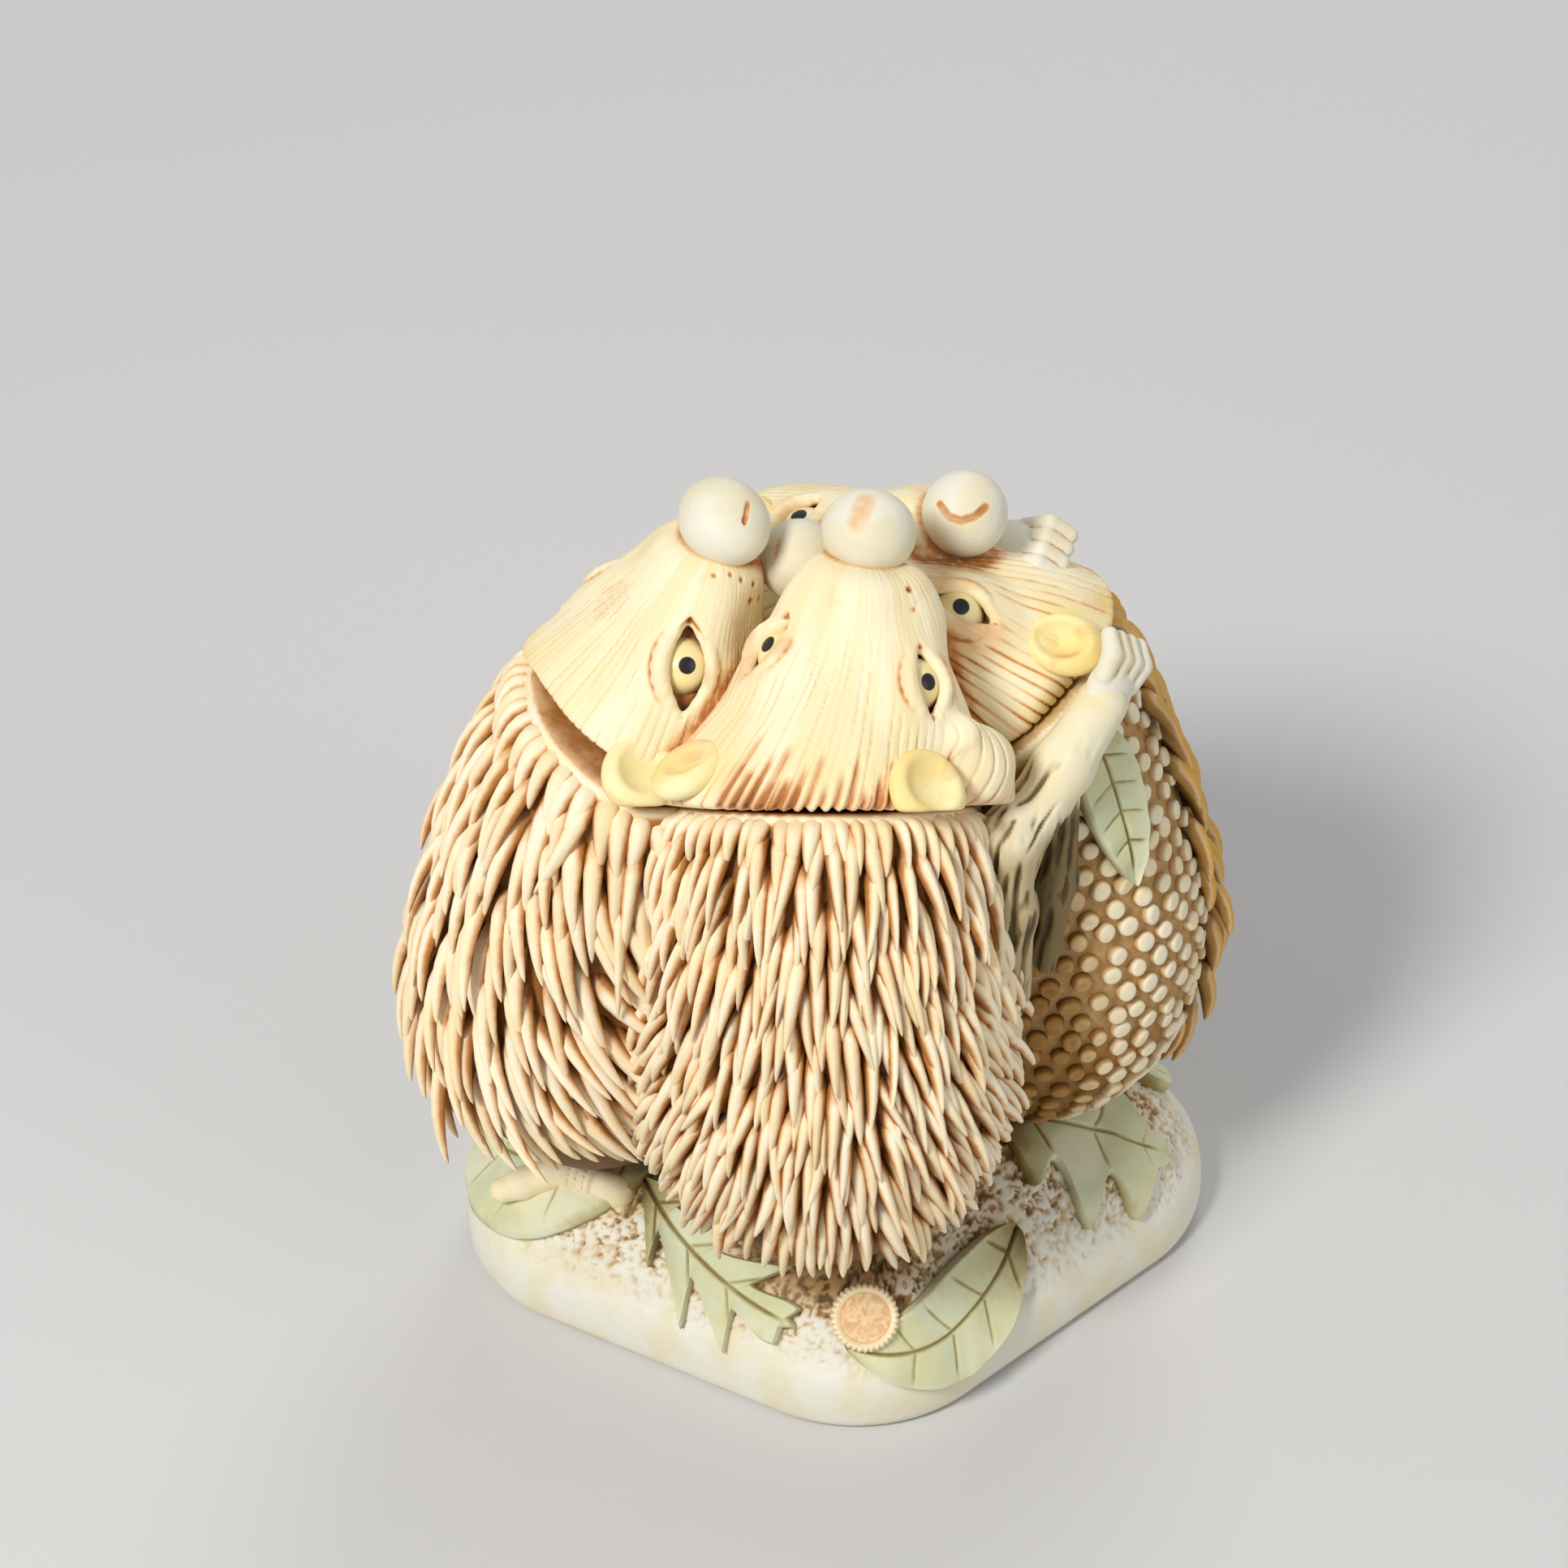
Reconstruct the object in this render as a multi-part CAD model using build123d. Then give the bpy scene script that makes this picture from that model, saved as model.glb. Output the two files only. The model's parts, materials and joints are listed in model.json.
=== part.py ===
from build123d import *
from math import atan2, cos, pi, radians, sin
import os

os.makedirs("parts", exist_ok=True)

# A lidded trinket box of cast resin: four hedgehogs in an upright huddle on a mound of leaf litter.
# The box is the mound with the four bodies, the lid is the four heads. Millimetres, +Z up.
# The origin is the middle of the flat underside, and the front hedgehog's back faces -Y.

# Foot and mound
foot_length = 60.8
foot_depth = 51.0
foot_corner = 13.0
foot_setback = 2.3
foot_chamfer = 0.7
foot_turn = 7.0
band_height = 5.0
slope_height = 4.6
crown_height = 3.4
slope_inset = 3.4
crown_inset = 4.4

# Box core, and the keepsake hollow in it
core_width = 21.0
rim_height = 53.0
hollow_width = 15.6
hollow_corner = 4.5
hollow_depth = 26.0

# Seam between box and lid: it rises outwards on each side, by these shares of the way out
seam_gap = 0.35
front_rise_share = 0.70
right_rise_share = 0.65
back_rise_share = 0.60
left_rise_share = 0.52

# Lid plate, and the plug under it that fits the hollow
plate_width = 23.0
plate_thickness = 3.0
plug_depth = 5.0
plug_clearance = 0.4

# Bodies: each one's distance from the middle, shift along its side, lean of the nape and girth
body_height = 55.0
body_sink = 1.0
front_reach = 13.0
front_shift = -1.0
front_lean = 4.0
front_radius = 13.6
right_reach = 15.8
right_shift = 4.0
right_lean = 6.0
right_radius = 13.0
back_reach = 13.4
back_shift = 0.5
back_lean = 4.6
back_radius = 13.6
left_reach = 19.0
left_shift = 3.0
left_lean = 6.0
left_radius = 13.8

# Heads: the nose's place from the middle, and how far the face is rolled to one side
nose_radius = 3.3
front_nose_out = 3.0
front_nose_across = 2.3
front_nose_height = 71.8
front_roll = -8.0
right_nose_out = -2.7
right_nose_across = 0.6
right_nose_height = 66.8
right_roll = -20.0
back_nose_out = 5.6
back_nose_across = -9.4
back_nose_height = 67.4
back_roll = 20.0
left_nose_out = 8.0
left_nose_across = 1.0
left_nose_height = 71.3
left_roll = 25.0
nape_rise = 1.0
front_head_radius = 13.6
right_head_radius = 11.2
back_head_radius = 12.6
left_head_radius = 12.3

# Eyes and ears
eye_radius = 2.1
eye_sink = 1.0
ear_radius = 2.9
ear_thickness = 1.7
ear_dish = 0.7
ear_sink = 0.5

# Quills, pegs and the ridge of scales
quill_length = 5.4
quill_width = 1.9
quill_thickness = 1.3
quill_sink = 0.35
quill_lift = 13.0
quill_rows = 7
quill_columns = 11
left_quill_width = 2.3
left_quill_length = 7.0
peg_radius = 0.8
peg_height = 0.8
peg_sink = 0.5
peg_sides = 6
peg_rows = 10
peg_columns = 10
scale_length = 6.5
scale_width = 3.4
scale_thickness = 1.8
scale_rows = 9
scale_columns = 2

# The front hedgehog's arm round its neighbour, and the paws
shoulder_radius = 2.6
elbow_radius = 2.1
wrist_radius = 1.6
arm_clearance = 1.2
shoulder_leaf_thickness = 1.0
shoulder_leaf_lift = 0.9
palm_radius = 2.2
finger_radius = 0.8
finger_length = 3.4
finger_fan = 16.0
finger_count = 4

# Leaf litter on the mound
leaf_thickness = 1.1
wide_leaf_length = 17.0
wide_leaf_width = 12.0
toothed_leaf_length = 17.0
toothed_leaf_width = 6.5
pointed_leaf_length = 18.0
pointed_leaf_width = 7.6
lobed_leaf_length = 14.5
lobed_leaf_width = 12.0
small_leaf_length = 8.0
small_leaf_width = 5.0
shoulder_leaf_length = 12.5
shoulder_leaf_width = 4.8
cap_radius = 2.7
cap_thickness = 1.2
cap_crimp_count = 21
cap_crimp_depth = 0.3
cap_dish = 0.4
stub_radius = 1.35
stub_length = 4.8
stub_bend = 36.0
wide_leaf_turn = -38.0
pointed_leaf_turn = 42.0
toothed_leaf_turn = -48.0
lobed_leaf_turn = -15.0
small_leaf_turn = 75.0
cap_tilt = 40.0
stub_turn = 5.0

core_half = core_width / 2
mound_height = band_height + slope_height + crown_height

SIDES = ("front", "right", "back", "left")
side_turns = dict(zip(SIDES, (-90.0, 0.0, 90.0, 180.0)))
rise_shares = dict(zip(SIDES, (front_rise_share, right_rise_share, back_rise_share, left_rise_share)))
reaches = dict(zip(SIDES, (front_reach, right_reach, back_reach, left_reach)))
shifts = dict(zip(SIDES, (front_shift, right_shift, back_shift, left_shift)))
leans = dict(zip(SIDES, (front_lean, right_lean, back_lean, left_lean)))
radii = dict(zip(SIDES, (front_radius, right_radius, back_radius, left_radius)))
rolls = dict(zip(SIDES, (front_roll, right_roll, back_roll, left_roll)))
head_radii = dict(
    zip(SIDES, (front_head_radius, right_head_radius, back_head_radius, left_head_radius))
)
nose_outs = dict(zip(SIDES, (front_nose_out, right_nose_out, back_nose_out, left_nose_out)))
nose_acrosses = dict(
    zip(SIDES, (front_nose_across, right_nose_across, back_nose_across, left_nose_across))
)
nose_heights = dict(
    zip(SIDES, (front_nose_height, right_nose_height, back_nose_height, left_nose_height))
)

# Height, lean and girth of a body's cross-sections, from its foot to its nape
body_section_shares = (
    (0.00, 0.00, 0.26),
    (0.05, 0.00, 0.52),
    (0.13, 0.00, 0.80),
    (0.30, 0.00, 1.00),
    (0.55, 0.30, 0.97),
    (0.80, 0.90, 0.86),
    (1.00, 1.40, 0.66),
)
# Way from nape to nose, and girth of a head's cross-sections
head_section_shares = ((-0.15, 1.00), (0.08, 0.92), (0.35, 0.68), (0.60, 0.47), (0.80, 0.37), (0.97, 0.25))
head_width_share = 0.94
# Latitudes of the rings of a ball, as shares of a quarter turn
ball_ring_shares = (-0.78, -0.40, 0.00, 0.40, 0.78)
palm_flatness_share = 0.6
quill_tip_share = 0.16
nape_lean_share = 0.75
# Lowest and highest row up a body, then first and last column round it as shares of a full turn
quill_band_shares = (0.15, 0.84, -0.22, 0.22)
peg_band_shares = (0.17, 0.74, -0.20, -0.02)
scale_band_shares = (0.22, 0.88, 0.02, 0.08)
# Out to the right, across towards the back, and height against the rim, for shoulder, elbow, wrist
arm_path_shares = ((1.24, -1.10, 0.95), (1.57, -0.81, 1.045), (1.84, -0.50, 1.10))
# Places on the mound, as shares of half the foot's length and depth, and of the mound's height
wide_leaf_place_shares = (-0.98, 0.10)
pointed_leaf_place_shares = (0.02, -0.86)
toothed_leaf_place_shares = (-0.52, -0.20)
lobed_leaf_place_shares = (0.46, 0.05)
small_leaf_place_shares = (0.84, 0.12)
cap_place_shares = (0.07, -0.79)
cap_height_share = 0.83
stub_place_shares = (-0.80, -0.27)
stub_height_share = 0.97
shoulder_leaf_place_shares = (-0.13, 0.74)
# Ways that a paw points and that its back faces, and the back hedgehog's wrist on the lid
paw_way_shares = (-0.25, 0.65, 0.70)
paw_back_shares = (1.00, 0.20, 0.50)
back_paw_place_shares = (1.20, 0.85, 5.95)
back_paw_way_shares = (0.90, -0.35, 0.15)
back_paw_back_shares = (0.10, 0.20, 1.00)
# Along the leaf and out to its edge
toothed_shares = (
    (0.10, 0.55), (0.16, 0.30), (0.28, 1.00), (0.32, 0.48), (0.48, 1.00), (0.52, 0.45),
    (0.68, 0.85), (0.72, 0.36), (0.86, 0.55), (0.88, 0.25),
)
lobed_shares = (
    (0.06, 0.30), (0.20, 0.75), (0.30, 0.62), (0.42, 1.00), (0.52, 0.62), (0.66, 0.85),
    (0.74, 0.48), (0.88, 0.50), (0.90, 0.25),
)
# Way from nape to nose, and ways round a head from its forehead as shares of a full turn
eye_along_shares = {"front": 0.50, "right": 0.33, "back": 0.50, "left": 0.50}
eye_turn_shares = {"front": (-0.17, 0.17), "right": (-0.12, 0.12), "back": (-0.17, 0.17), "left": (-0.17, 0.17)}
ear_along_share = 0.17
ear_turn_shares = {"front": (-0.14, 0.15), "right": (-0.14, 0.09), "back": (-0.16,), "left": (-0.17, 0.14)}
# How many flat facets go round each kind of round form
back_facets = 24
head_facets = 18
ball_facets = 10
limb_facets = 8
finger_facets = 6
corner_facets = 5
# Two edges count as parallel, and the side between them as flat, below this share
flatness_limit = 0.000001


def outward(side):
    """Unit vector out from the middle through a side."""
    turn = radians(side_turns[side])
    return Vector(cos(turn), sin(turn), 0)


def along_side(side):
    """Unit vector along a side, towards the next one."""
    return Vector(-outward(side).Y, outward(side).X, 0)


def at(side, out, across, height):
    """Point given by its way out through a side, along the side and up."""
    return outward(side) * out + along_side(side) * across + Vector(0, 0, height)


def beside(side, step):
    """The side next to this one."""
    return SIDES[(SIDES.index(side) + step) % len(SIDES)]


def between(rows, share):
    """Values of a table of shares at a place between two of its rows."""
    for (low, *before), (high, *after) in zip(rows, rows[1:]):
        if share <= high:
            break
    part = (share - low) / (high - low)
    return [first + (last - first) * part for first, last in zip(before, after)]


def ring(count):
    """Angles of a full turn in degrees, one for each of count copies."""
    return [360 * number / count for number in range(count)]


def oval(plane, width, depth, facets):
    """Points of a many-sided oval on a plane, as wide as width along X and depth along Y."""
    points = []
    for turn in ring(facets):
        x_step = plane.x_dir * (width / 2 * sin(radians(turn)))
        points.append(plane.origin + x_step + plane.y_dir * (depth / 2 * cos(radians(turn))))
    return points


def flat_face(points):
    """The flat face that has these corners."""
    return make_face(Polyline(*points, close=True))


def flat_sided(rings):
    """A solid with flat sides from ring to ring, which all have as many points.

    A side whose four corners aren't in one plane is made of two triangles.
    """
    faces = [flat_face(rings[0]), flat_face(rings[-1])]
    for low, high in zip(rings, rings[1:]):
        for number, corner in enumerate(low):
            after = (number + 1) % len(low)
            along = low[after] - corner
            if along.cross(high[after] - high[number]).length < along.length * flatness_limit:
                faces.append(flat_face((corner, low[after], high[after], high[number])))
            else:
                faces.append(flat_face((corner, low[after], high[after])))
                faces.append(flat_face((corner, high[after], high[number])))
    return Solid(Shell(faces))


def ball(radius, flatness):
    """A many-sided ball, flattened along Y to a share of its width."""
    rings = []
    for share in ball_ring_shares:
        latitude = share * pi / 2
        width = 2 * radius * cos(latitude)
        plane = Plane((0, 0, radius * sin(latitude)))
        rings.append(oval(plane, width, width * flatness, ball_facets))
    return flat_sided(rings)


# The mound


def rhombus(inset, height):
    """Corners of the plan of the foot, a rhombus with round corners, drawn in by inset."""
    half_x = foot_length / 2 - foot_corner
    half_y = foot_depth / 2 - foot_corner
    slant = atan2(half_x, half_y)
    corners = ((half_x, 0, 0, slant), (0, half_y, pi / 2, pi / 2 - slant))
    corners += ((-half_x, 0, pi, slant), (0, -half_y, -pi / 2, pi / 2 - slant))
    outline = []
    for x, y, middle, spread in corners:
        for number in range(corner_facets + 1):
            turn = middle + spread * (2 * number / corner_facets - 1)
            reach = foot_corner - inset
            outline.append(Vector(x + reach * cos(turn), y + reach * sin(turn), height))
    return outline


def mound(swell):
    """The foot, the slope and the crown, all grown outwards and upwards by swell."""
    levels = (
        (0, foot_chamfer),
        (foot_chamfer, 0),
        (band_height, 0),
        (band_height + slope_height, slope_inset),
        (mound_height, slope_inset + crown_inset),
    )
    plans = [rhombus(inset - swell, height + swell) for height, inset in levels]
    return Pos(0, foot_setback, 0) * Rot(0, 0, foot_turn) * flat_sided(plans)


# The seam, and the room that it leaves on each side


def seam_wedge(lift):
    """Everything above the seam: an upturned four-sided wedge, its sides rising outwards."""
    level = rim_height + lift
    rings = []
    for rise in (0, body_height):
        flare = {side: core_half + rise / rise_shares[side] for side in SIDES}
        corners = (
            (-flare["left"], -flare["front"]),
            (flare["right"], -flare["front"]),
            (flare["right"], flare["back"]),
            (-flare["left"], flare["back"]),
        )
        rings.append([Vector(x, y, level + rise) for x, y in corners])
    return flat_sided(rings)


def sector(side):
    """The room of one body: outside the core, between its neighbours, under the seam."""
    far = foot_length
    ahead = core_half + far * rise_shares[side] / rise_shares[beside(side, 1)]
    behind = core_half + far * rise_shares[side] / rise_shares[beside(side, -1)]
    plan = [
        at(side, core_half, core_half, mound_height),
        at(side, core_half, -core_half, mound_height),
        at(side, core_half + far, -behind, mound_height),
        at(side, core_half + far, ahead, mound_height),
    ]
    room = extrude(make_face(Polyline(*plan, close=True)), body_height, dir=(0, 0, 1))
    return room - seam_wedge(0)


# Bodies


def back_middle(side, share):
    """Middle and radius of a body's cross-section, at a share of its height."""
    lean_share, girth_share = between(body_section_shares, share)
    out = reaches[side] - leans[side] * lean_share
    height = mound_height - body_sink + body_height * share
    return at(side, out, shifts[side], height), radii[side] * girth_share


def back_loft(side):
    """A hedgehog's whole round back, before its neighbours cut it."""
    rings = []
    for share, _, _ in body_section_shares:
        middle, radius = back_middle(side, share)
        plane = Plane(middle, x_dir=along_side(side), z_dir=(0, 0, 1))
        rings.append(oval(plane, 2 * radius, 2 * radius, back_facets))
    return flat_sided(rings)


def on_back(side, turn_share, share):
    """Point on a body's skin, at a share of a turn from straight out and a share of its height."""
    middle, radius = back_middle(side, share)
    turn = 2 * pi * turn_share
    return middle + (outward(side) * cos(turn) + along_side(side) * sin(turn)) * radius


def back_frame(side, turn_share, share, step):
    """Point on a body's skin with the ways down it to the next row, round it and out of it."""
    place = on_back(side, turn_share, share)
    down = (on_back(side, turn_share, share - step) - place).normalized()
    turn = 2 * pi * turn_share
    round_it = along_side(side) * cos(turn) - outward(side) * sin(turn)
    return place, down, round_it, down.cross(round_it).normalized()


def quill_blank(length, width, thickness):
    """A four-sided tapered quill with a blunt tip along +Z, wide across X."""
    root = oval(Plane.XY, width, thickness, 4)
    tip = oval(Plane.XY.offset(length), width * quill_tip_share, thickness * quill_tip_share, 4)
    return flat_sided([root, tip])


def rows(count, columns, low, high, left, right):
    """Staggered places on a skin: pairs of shares, round it and up it, and the step between rows."""
    places = []
    step = (high - low) / (count - 1)
    for row in range(count):
        for column in range(columns):
            offset = row % 2 / 2
            places.append((left + (right - left) * (column + offset) / columns, low + step * row, step))
    return places


def quilled(side, blank, places):
    """Copies of a quill grown over a body's skin, pointing down it and lifted off it."""
    grown = []
    for turn_share, share, step in places:
        place, down, round_it, out = back_frame(side, turn_share, share, step)
        point = down * cos(radians(quill_lift)) + out * sin(radians(quill_lift))
        grown.append(Plane(place - out * quill_sink, x_dir=round_it, z_dir=point) * blank)
    return grown


def pegged(side, places):
    """Flat-topped pegs that stand square on a body's skin."""
    outline = flat_face(oval(Plane.XY, 2 * peg_radius, 2 * peg_radius, peg_sides))
    peg = extrude(outline, peg_height + peg_sink)
    standing = []
    for turn_share, share, step in places:
        place, down, round_it, out = back_frame(side, turn_share, share, step)
        standing.append(Plane(place - out * peg_sink, x_dir=round_it, z_dir=out) * peg)
    return standing


def body(side, relief):
    """A whole body with what grows on it, cut to its own room beside its neighbours.

    Tips of the relief that the neighbour cuts off from the body are dropped.
    """
    whole = back_loft(side).fuse(*[piece.solid() for piece in relief]) & sector(side)
    return max(whole.solids(), key=lambda solid: solid.volume)


# Heads


def head_axis(side):
    """Start at the nape and end in the nose of the line that a head is built along."""
    out = reaches[side] - leans[side] * nape_lean_share
    nape = at(side, out, shifts[side], rim_height + nape_rise)
    nose = at(side, nose_outs[side], nose_acrosses[side], nose_heights[side])
    return nape, nose


def head_plane(side, along):
    """Cross-section plane of a head: X across the face, Y out through the forehead."""
    nape, nose = head_axis(side)
    axis = (nose - nape).normalized()
    across = outward(side).cross(axis).normalized()
    centre = nape + (nose - nape) * along
    return Plane(centre, x_dir=across, z_dir=axis).rotated((0, 0, rolls[side]))


def head_loft(side):
    """A whole head, from below the seam to inside the nose."""
    rings = []
    for along, girth_share in head_section_shares:
        depth = 2 * head_radii[side] * girth_share
        rings.append(oval(head_plane(side, along), depth * head_width_share, depth, head_facets))
    return flat_sided(rings)


def on_head(side, along, turn_share):
    """Point on a head's skin and the way out of it, at a turn from the forehead."""
    plane = head_plane(side, along)
    radius = head_radii[side] * between(head_section_shares, along)[0]
    turn = 2 * pi * turn_share
    way = plane.x_dir * sin(turn) * head_width_share + plane.y_dir * cos(turn)
    nape, nose = head_axis(side)
    narrowing = head_radii[side] * (head_section_shares[0][1] - head_section_shares[-1][1])
    rise = narrowing / (nose - nape).length
    return plane.origin + way * radius, (way + plane.z_dir * rise).normalized()


# What goes on the heads


def nose(side):
    """The round nose at the end of a snout."""
    return Pos(head_axis(side)[1]) * ball(nose_radius, 1)


def eyes(side):
    """The two eyeballs of a head, half sunk in its skin."""
    balls = []
    for turn_share in eye_turn_shares[side]:
        place, out = on_head(side, eye_along_shares[side], turn_share)
        balls.append(Plane(place - out * eye_sink, z_dir=out) * ball(eye_radius, 1))
    return balls


def ears(side):
    """The cupped ears at the corners of a head, set in its skin, but for one that a neighbour hides."""
    disc = extrude(flat_face(oval(Plane.XY, 2 * ear_radius, 2 * ear_radius, ball_facets)), ear_thickness)
    brim = oval(Plane.XY.offset(ear_thickness), 2 * ear_radius, 2 * ear_radius, ball_facets)
    bowl = oval(Plane.XY.offset(ear_thickness - ear_dish), ear_radius, ear_radius, ball_facets)
    cup = disc - flat_sided([bowl, brim])
    cups = []
    for turn_share in ear_turn_shares[side]:
        place, out = on_head(side, ear_along_share, turn_share)
        cups.append(Plane(place - out * ear_sink, z_dir=out) * cup)
    return cups


def clear_of(shape, others):
    """What is left of a shape beside the others: its largest piece."""
    left = shape.solids()
    for other in others:
        left = [rest for piece in left for rest in (piece - other).solids()]
    return max(left, key=lambda solid: solid.volume)


def grouped(shapes):
    """One node that holds the solids of all the shapes, each for itself."""
    return Compound(children=[solid for shape in shapes for solid in shape.solids()])


# Arm and paws


def bar(path, widths):
    """A many-sided bar along a path of points, as wide at each of them as given."""
    rings = []
    for number, (place, width) in enumerate(zip(path, widths)):
        way = path[min(number + 1, len(path) - 1)] - path[max(number - 1, 0)]
        plane = Plane(place, x_dir=way.cross(Vector(0, 0, 1)), z_dir=way)
        rings.append(oval(plane, width, width, limb_facets))
    return flat_sided(rings)


def paw(wrist, toward, back):
    """A palm with four fingers at the wrist, that points toward the fingertips, its back that way."""
    plane = Plane(wrist, x_dir=back.cross(toward).normalized(), z_dir=toward)
    hand = ball(palm_radius, palm_flatness_share)
    root = oval(Plane.XY, 2 * finger_radius, 2 * finger_radius, finger_facets)
    tip = oval(Plane.XY.offset(finger_length), finger_radius, finger_radius, finger_facets)
    finger = flat_sided([root, tip])
    for number in range(finger_count):
        turn = finger_fan * (number - (finger_count - 1) / 2)
        hand += Rot(0, turn, 0) * Pos(0, 0, palm_radius / 2) * finger
    return plane * hand


def arm_points():
    """Shoulder, elbow and wrist, out along the corner between the front and right bodies."""
    points = []
    for out_share, across_share, rise_share in arm_path_shares:
        points.append(Vector(core_half * out_share, core_half * across_share, rim_height * rise_share))
    return points


def arm_room(points, clearance):
    """The room the lid leaves for the arm: all beyond an upright face beside it."""
    shoulder, _, wrist = points
    way = Vector(wrist.X - shoulder.X, wrist.Y - shoulder.Y, 0).normalized()
    beside_arm = way.cross(Vector(0, 0, 1))
    face = Plane(shoulder - beside_arm * (elbow_radius + clearance), x_dir=way, z_dir=beside_arm)
    return face * extrude(Rectangle(foot_length, foot_length), foot_length)


# Leaf litter


def blade(length, width):
    """A plain leaf from stalk to point along X, cut from a long many-sided oval."""
    return flat_face(oval(Plane((length / 2, 0, 0)), length, width, 2 * limb_facets))


def cut_leaf(length, width, edge_shares):
    """A toothed or lobed leaf, its edge given by shares of length and half width."""
    upper = [(length * along, width / 2 * out) for along, out in edge_shares]
    lower = [(x, -y) for x, y in reversed(upper)]
    return make_face(Polyline((0, 0), *upper, (length, 0), *lower, close=True))


def on_mound(plan, place_shares, turn):
    """A leaf of the mound's own shape: its plan cut from a thin shell over the mound."""
    x_share, y_share = place_shares
    spot = Pos(foot_length / 2 * x_share, foot_depth / 2 * y_share, 0) * Rot(0, 0, turn)
    prism = extrude(spot * plan, mound_height + 2 * leaf_thickness)
    return clear_of((mound(leaf_thickness) & prism) - base, bodies.values())


def shoulder_leaf():
    """The leaf laid down the right hedgehog's back from the paw."""
    turn_share, share = shoulder_leaf_place_shares
    place, down, round_it, out = back_frame("right", turn_share, share, shoulder_leaf_length / body_height)
    plan = extrude(blade(shoulder_leaf_length, shoulder_leaf_width), shoulder_leaf_thickness)
    return Plane(place + out * shoulder_leaf_lift, x_dir=down, z_dir=out) * plan


def seated(thing, place_shares, height_share, tilt, turn):
    """A thing laid on the slope of the mound."""
    x_share, y_share = place_shares
    spot = Pos(foot_length / 2 * x_share, foot_depth / 2 * y_share, mound_height * height_share)
    return spot * Rot(0, 0, turn) * Rot(tilt, 0, 0) * thing


def crimped_cap():
    """A bottle's crown cap: a dished disc with a crimped edge."""
    rim = []
    for number, turn in enumerate(ring(2 * cap_crimp_count)):
        reach = cap_radius - cap_crimp_depth * (number % 2)
        rim.append((reach * cos(radians(turn)), reach * sin(radians(turn))))
    disc = extrude(make_face(Polyline(*rim, close=True)), cap_thickness)
    dish_width = 2 * (cap_radius - 2 * cap_crimp_depth)
    dish = extrude(flat_face(oval(Plane.XY, dish_width, dish_width, 2 * ball_facets)), cap_dish)
    return disc - Pos(0, 0, cap_thickness - cap_dish) * dish


def bent_stub():
    """A stubbed-out cigarette end, bent in the middle, along X."""
    reach = stub_length * cos(radians(stub_bend / 2))
    path = (Vector(-reach, 0, 0), Vector(0, stub_length * sin(radians(stub_bend / 2)), 0), Vector(reach, 0, 0))
    return bar(path, (2 * stub_radius, 2 * stub_radius, 2 * stub_radius))


# Build: the box

base = mound(0)
core_height = rim_height - mound_height
core = Pos(0, 0, mound_height) * extrude(Rectangle(core_width, core_width), core_height)
flared_width = core_width + 2 * core_height
core_foot = oval(Plane((0, 0, mound_height)), core_width, core_width, 2 * limb_facets)
core_top = oval(Plane((0, 0, rim_height)), flared_width, flared_width, 2 * limb_facets)
core &= flat_sided([core_foot, core_top])
hollow_plan = RectangleRounded(hollow_width, hollow_width, hollow_corner)
core -= Pos(0, 0, rim_height) * extrude(hollow_plan, -hollow_depth)
fine = quill_blank(quill_length, quill_width, quill_thickness)
broad = quill_blank(left_quill_length, left_quill_width, quill_thickness)
plate_scale = quill_blank(scale_length, scale_width, scale_thickness)
quill_places = rows(quill_rows, quill_columns, *quill_band_shares)
peg_places = rows(peg_rows, peg_columns, *peg_band_shares)
scale_places = rows(scale_rows, scale_columns, *scale_band_shares)
bodies = {
    "front": body("front", quilled("front", fine, quill_places)),
    "right": body("right", pegged("right", peg_places) + quilled("right", plate_scale, scale_places)),
    "back": body("back", quilled("back", fine, quill_places)),
    "left": body("left", quilled("left", broad, quill_places)),
}

points = arm_points()
widths = (2 * shoulder_radius, 2 * elbow_radius, 2 * wrist_radius)
front_arm = clear_of(bar(points, widths), bodies.values())
paw_front = paw(points[2], Vector(*paw_way_shares), Vector(*paw_back_shares))
paw_front &= arm_room(points, arm_clearance - seam_gap)
paw_front = clear_of(paw_front, (front_arm, *bodies.values()))

# Build: the lid

lid_room = seam_wedge(seam_gap)
plate_block = Pos(0, 0, rim_height + seam_gap + plate_thickness) * extrude(
    Rectangle(plate_width, plate_width), -2 * plate_thickness
)
plate = lid_room & plate_block
plug_width = hollow_width - 2 * plug_clearance
plug_plan = RectangleRounded(plug_width, plug_width, hollow_corner - plug_clearance)
plug = Pos(0, 0, rim_height + seam_gap) * extrude(plug_plan, -plug_depth)

noses = {side: nose(side) for side in SIDES}
heads = {}
for side in ("front", "left", "right", "back"):
    head = head_loft(side) & lid_room
    for other in (plate, *noses.values(), *heads.values()):
        head -= other
    if side == "right":
        head -= arm_room(points, arm_clearance)
    heads[side] = max(head.solids(), key=lambda solid: solid.volume)

parts = {"base_mound": base, "box_core": core, "lid_plate": plate, "lid_plug": plug}
parts["arm_front"] = front_arm
parts["paw_front"] = paw_front
lid_pieces = [*heads.values(), *noses.values(), plate]
for side in SIDES:
    parts["body_" + side] = bodies[side]
    parts["head_" + side] = heads[side]
    parts["nose_" + side] = noses[side]
    pair = [clear_of(eye, lid_pieces) for eye in eyes(side)]
    parts["eyes_" + side] = grouped(pair)
    lid_pieces += pair
for side in SIDES:
    pair = [clear_of(ear & lid_room, lid_pieces) for ear in ears(side)]
    parts["ears_" + side] = grouped(pair)
    lid_pieces += pair
wide_plan = blade(wide_leaf_length, wide_leaf_width)
pointed_plan = blade(pointed_leaf_length, pointed_leaf_width)
toothed_plan = cut_leaf(toothed_leaf_length, toothed_leaf_width, toothed_shares)
lobed_plan = cut_leaf(lobed_leaf_length, lobed_leaf_width, lobed_shares)
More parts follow.
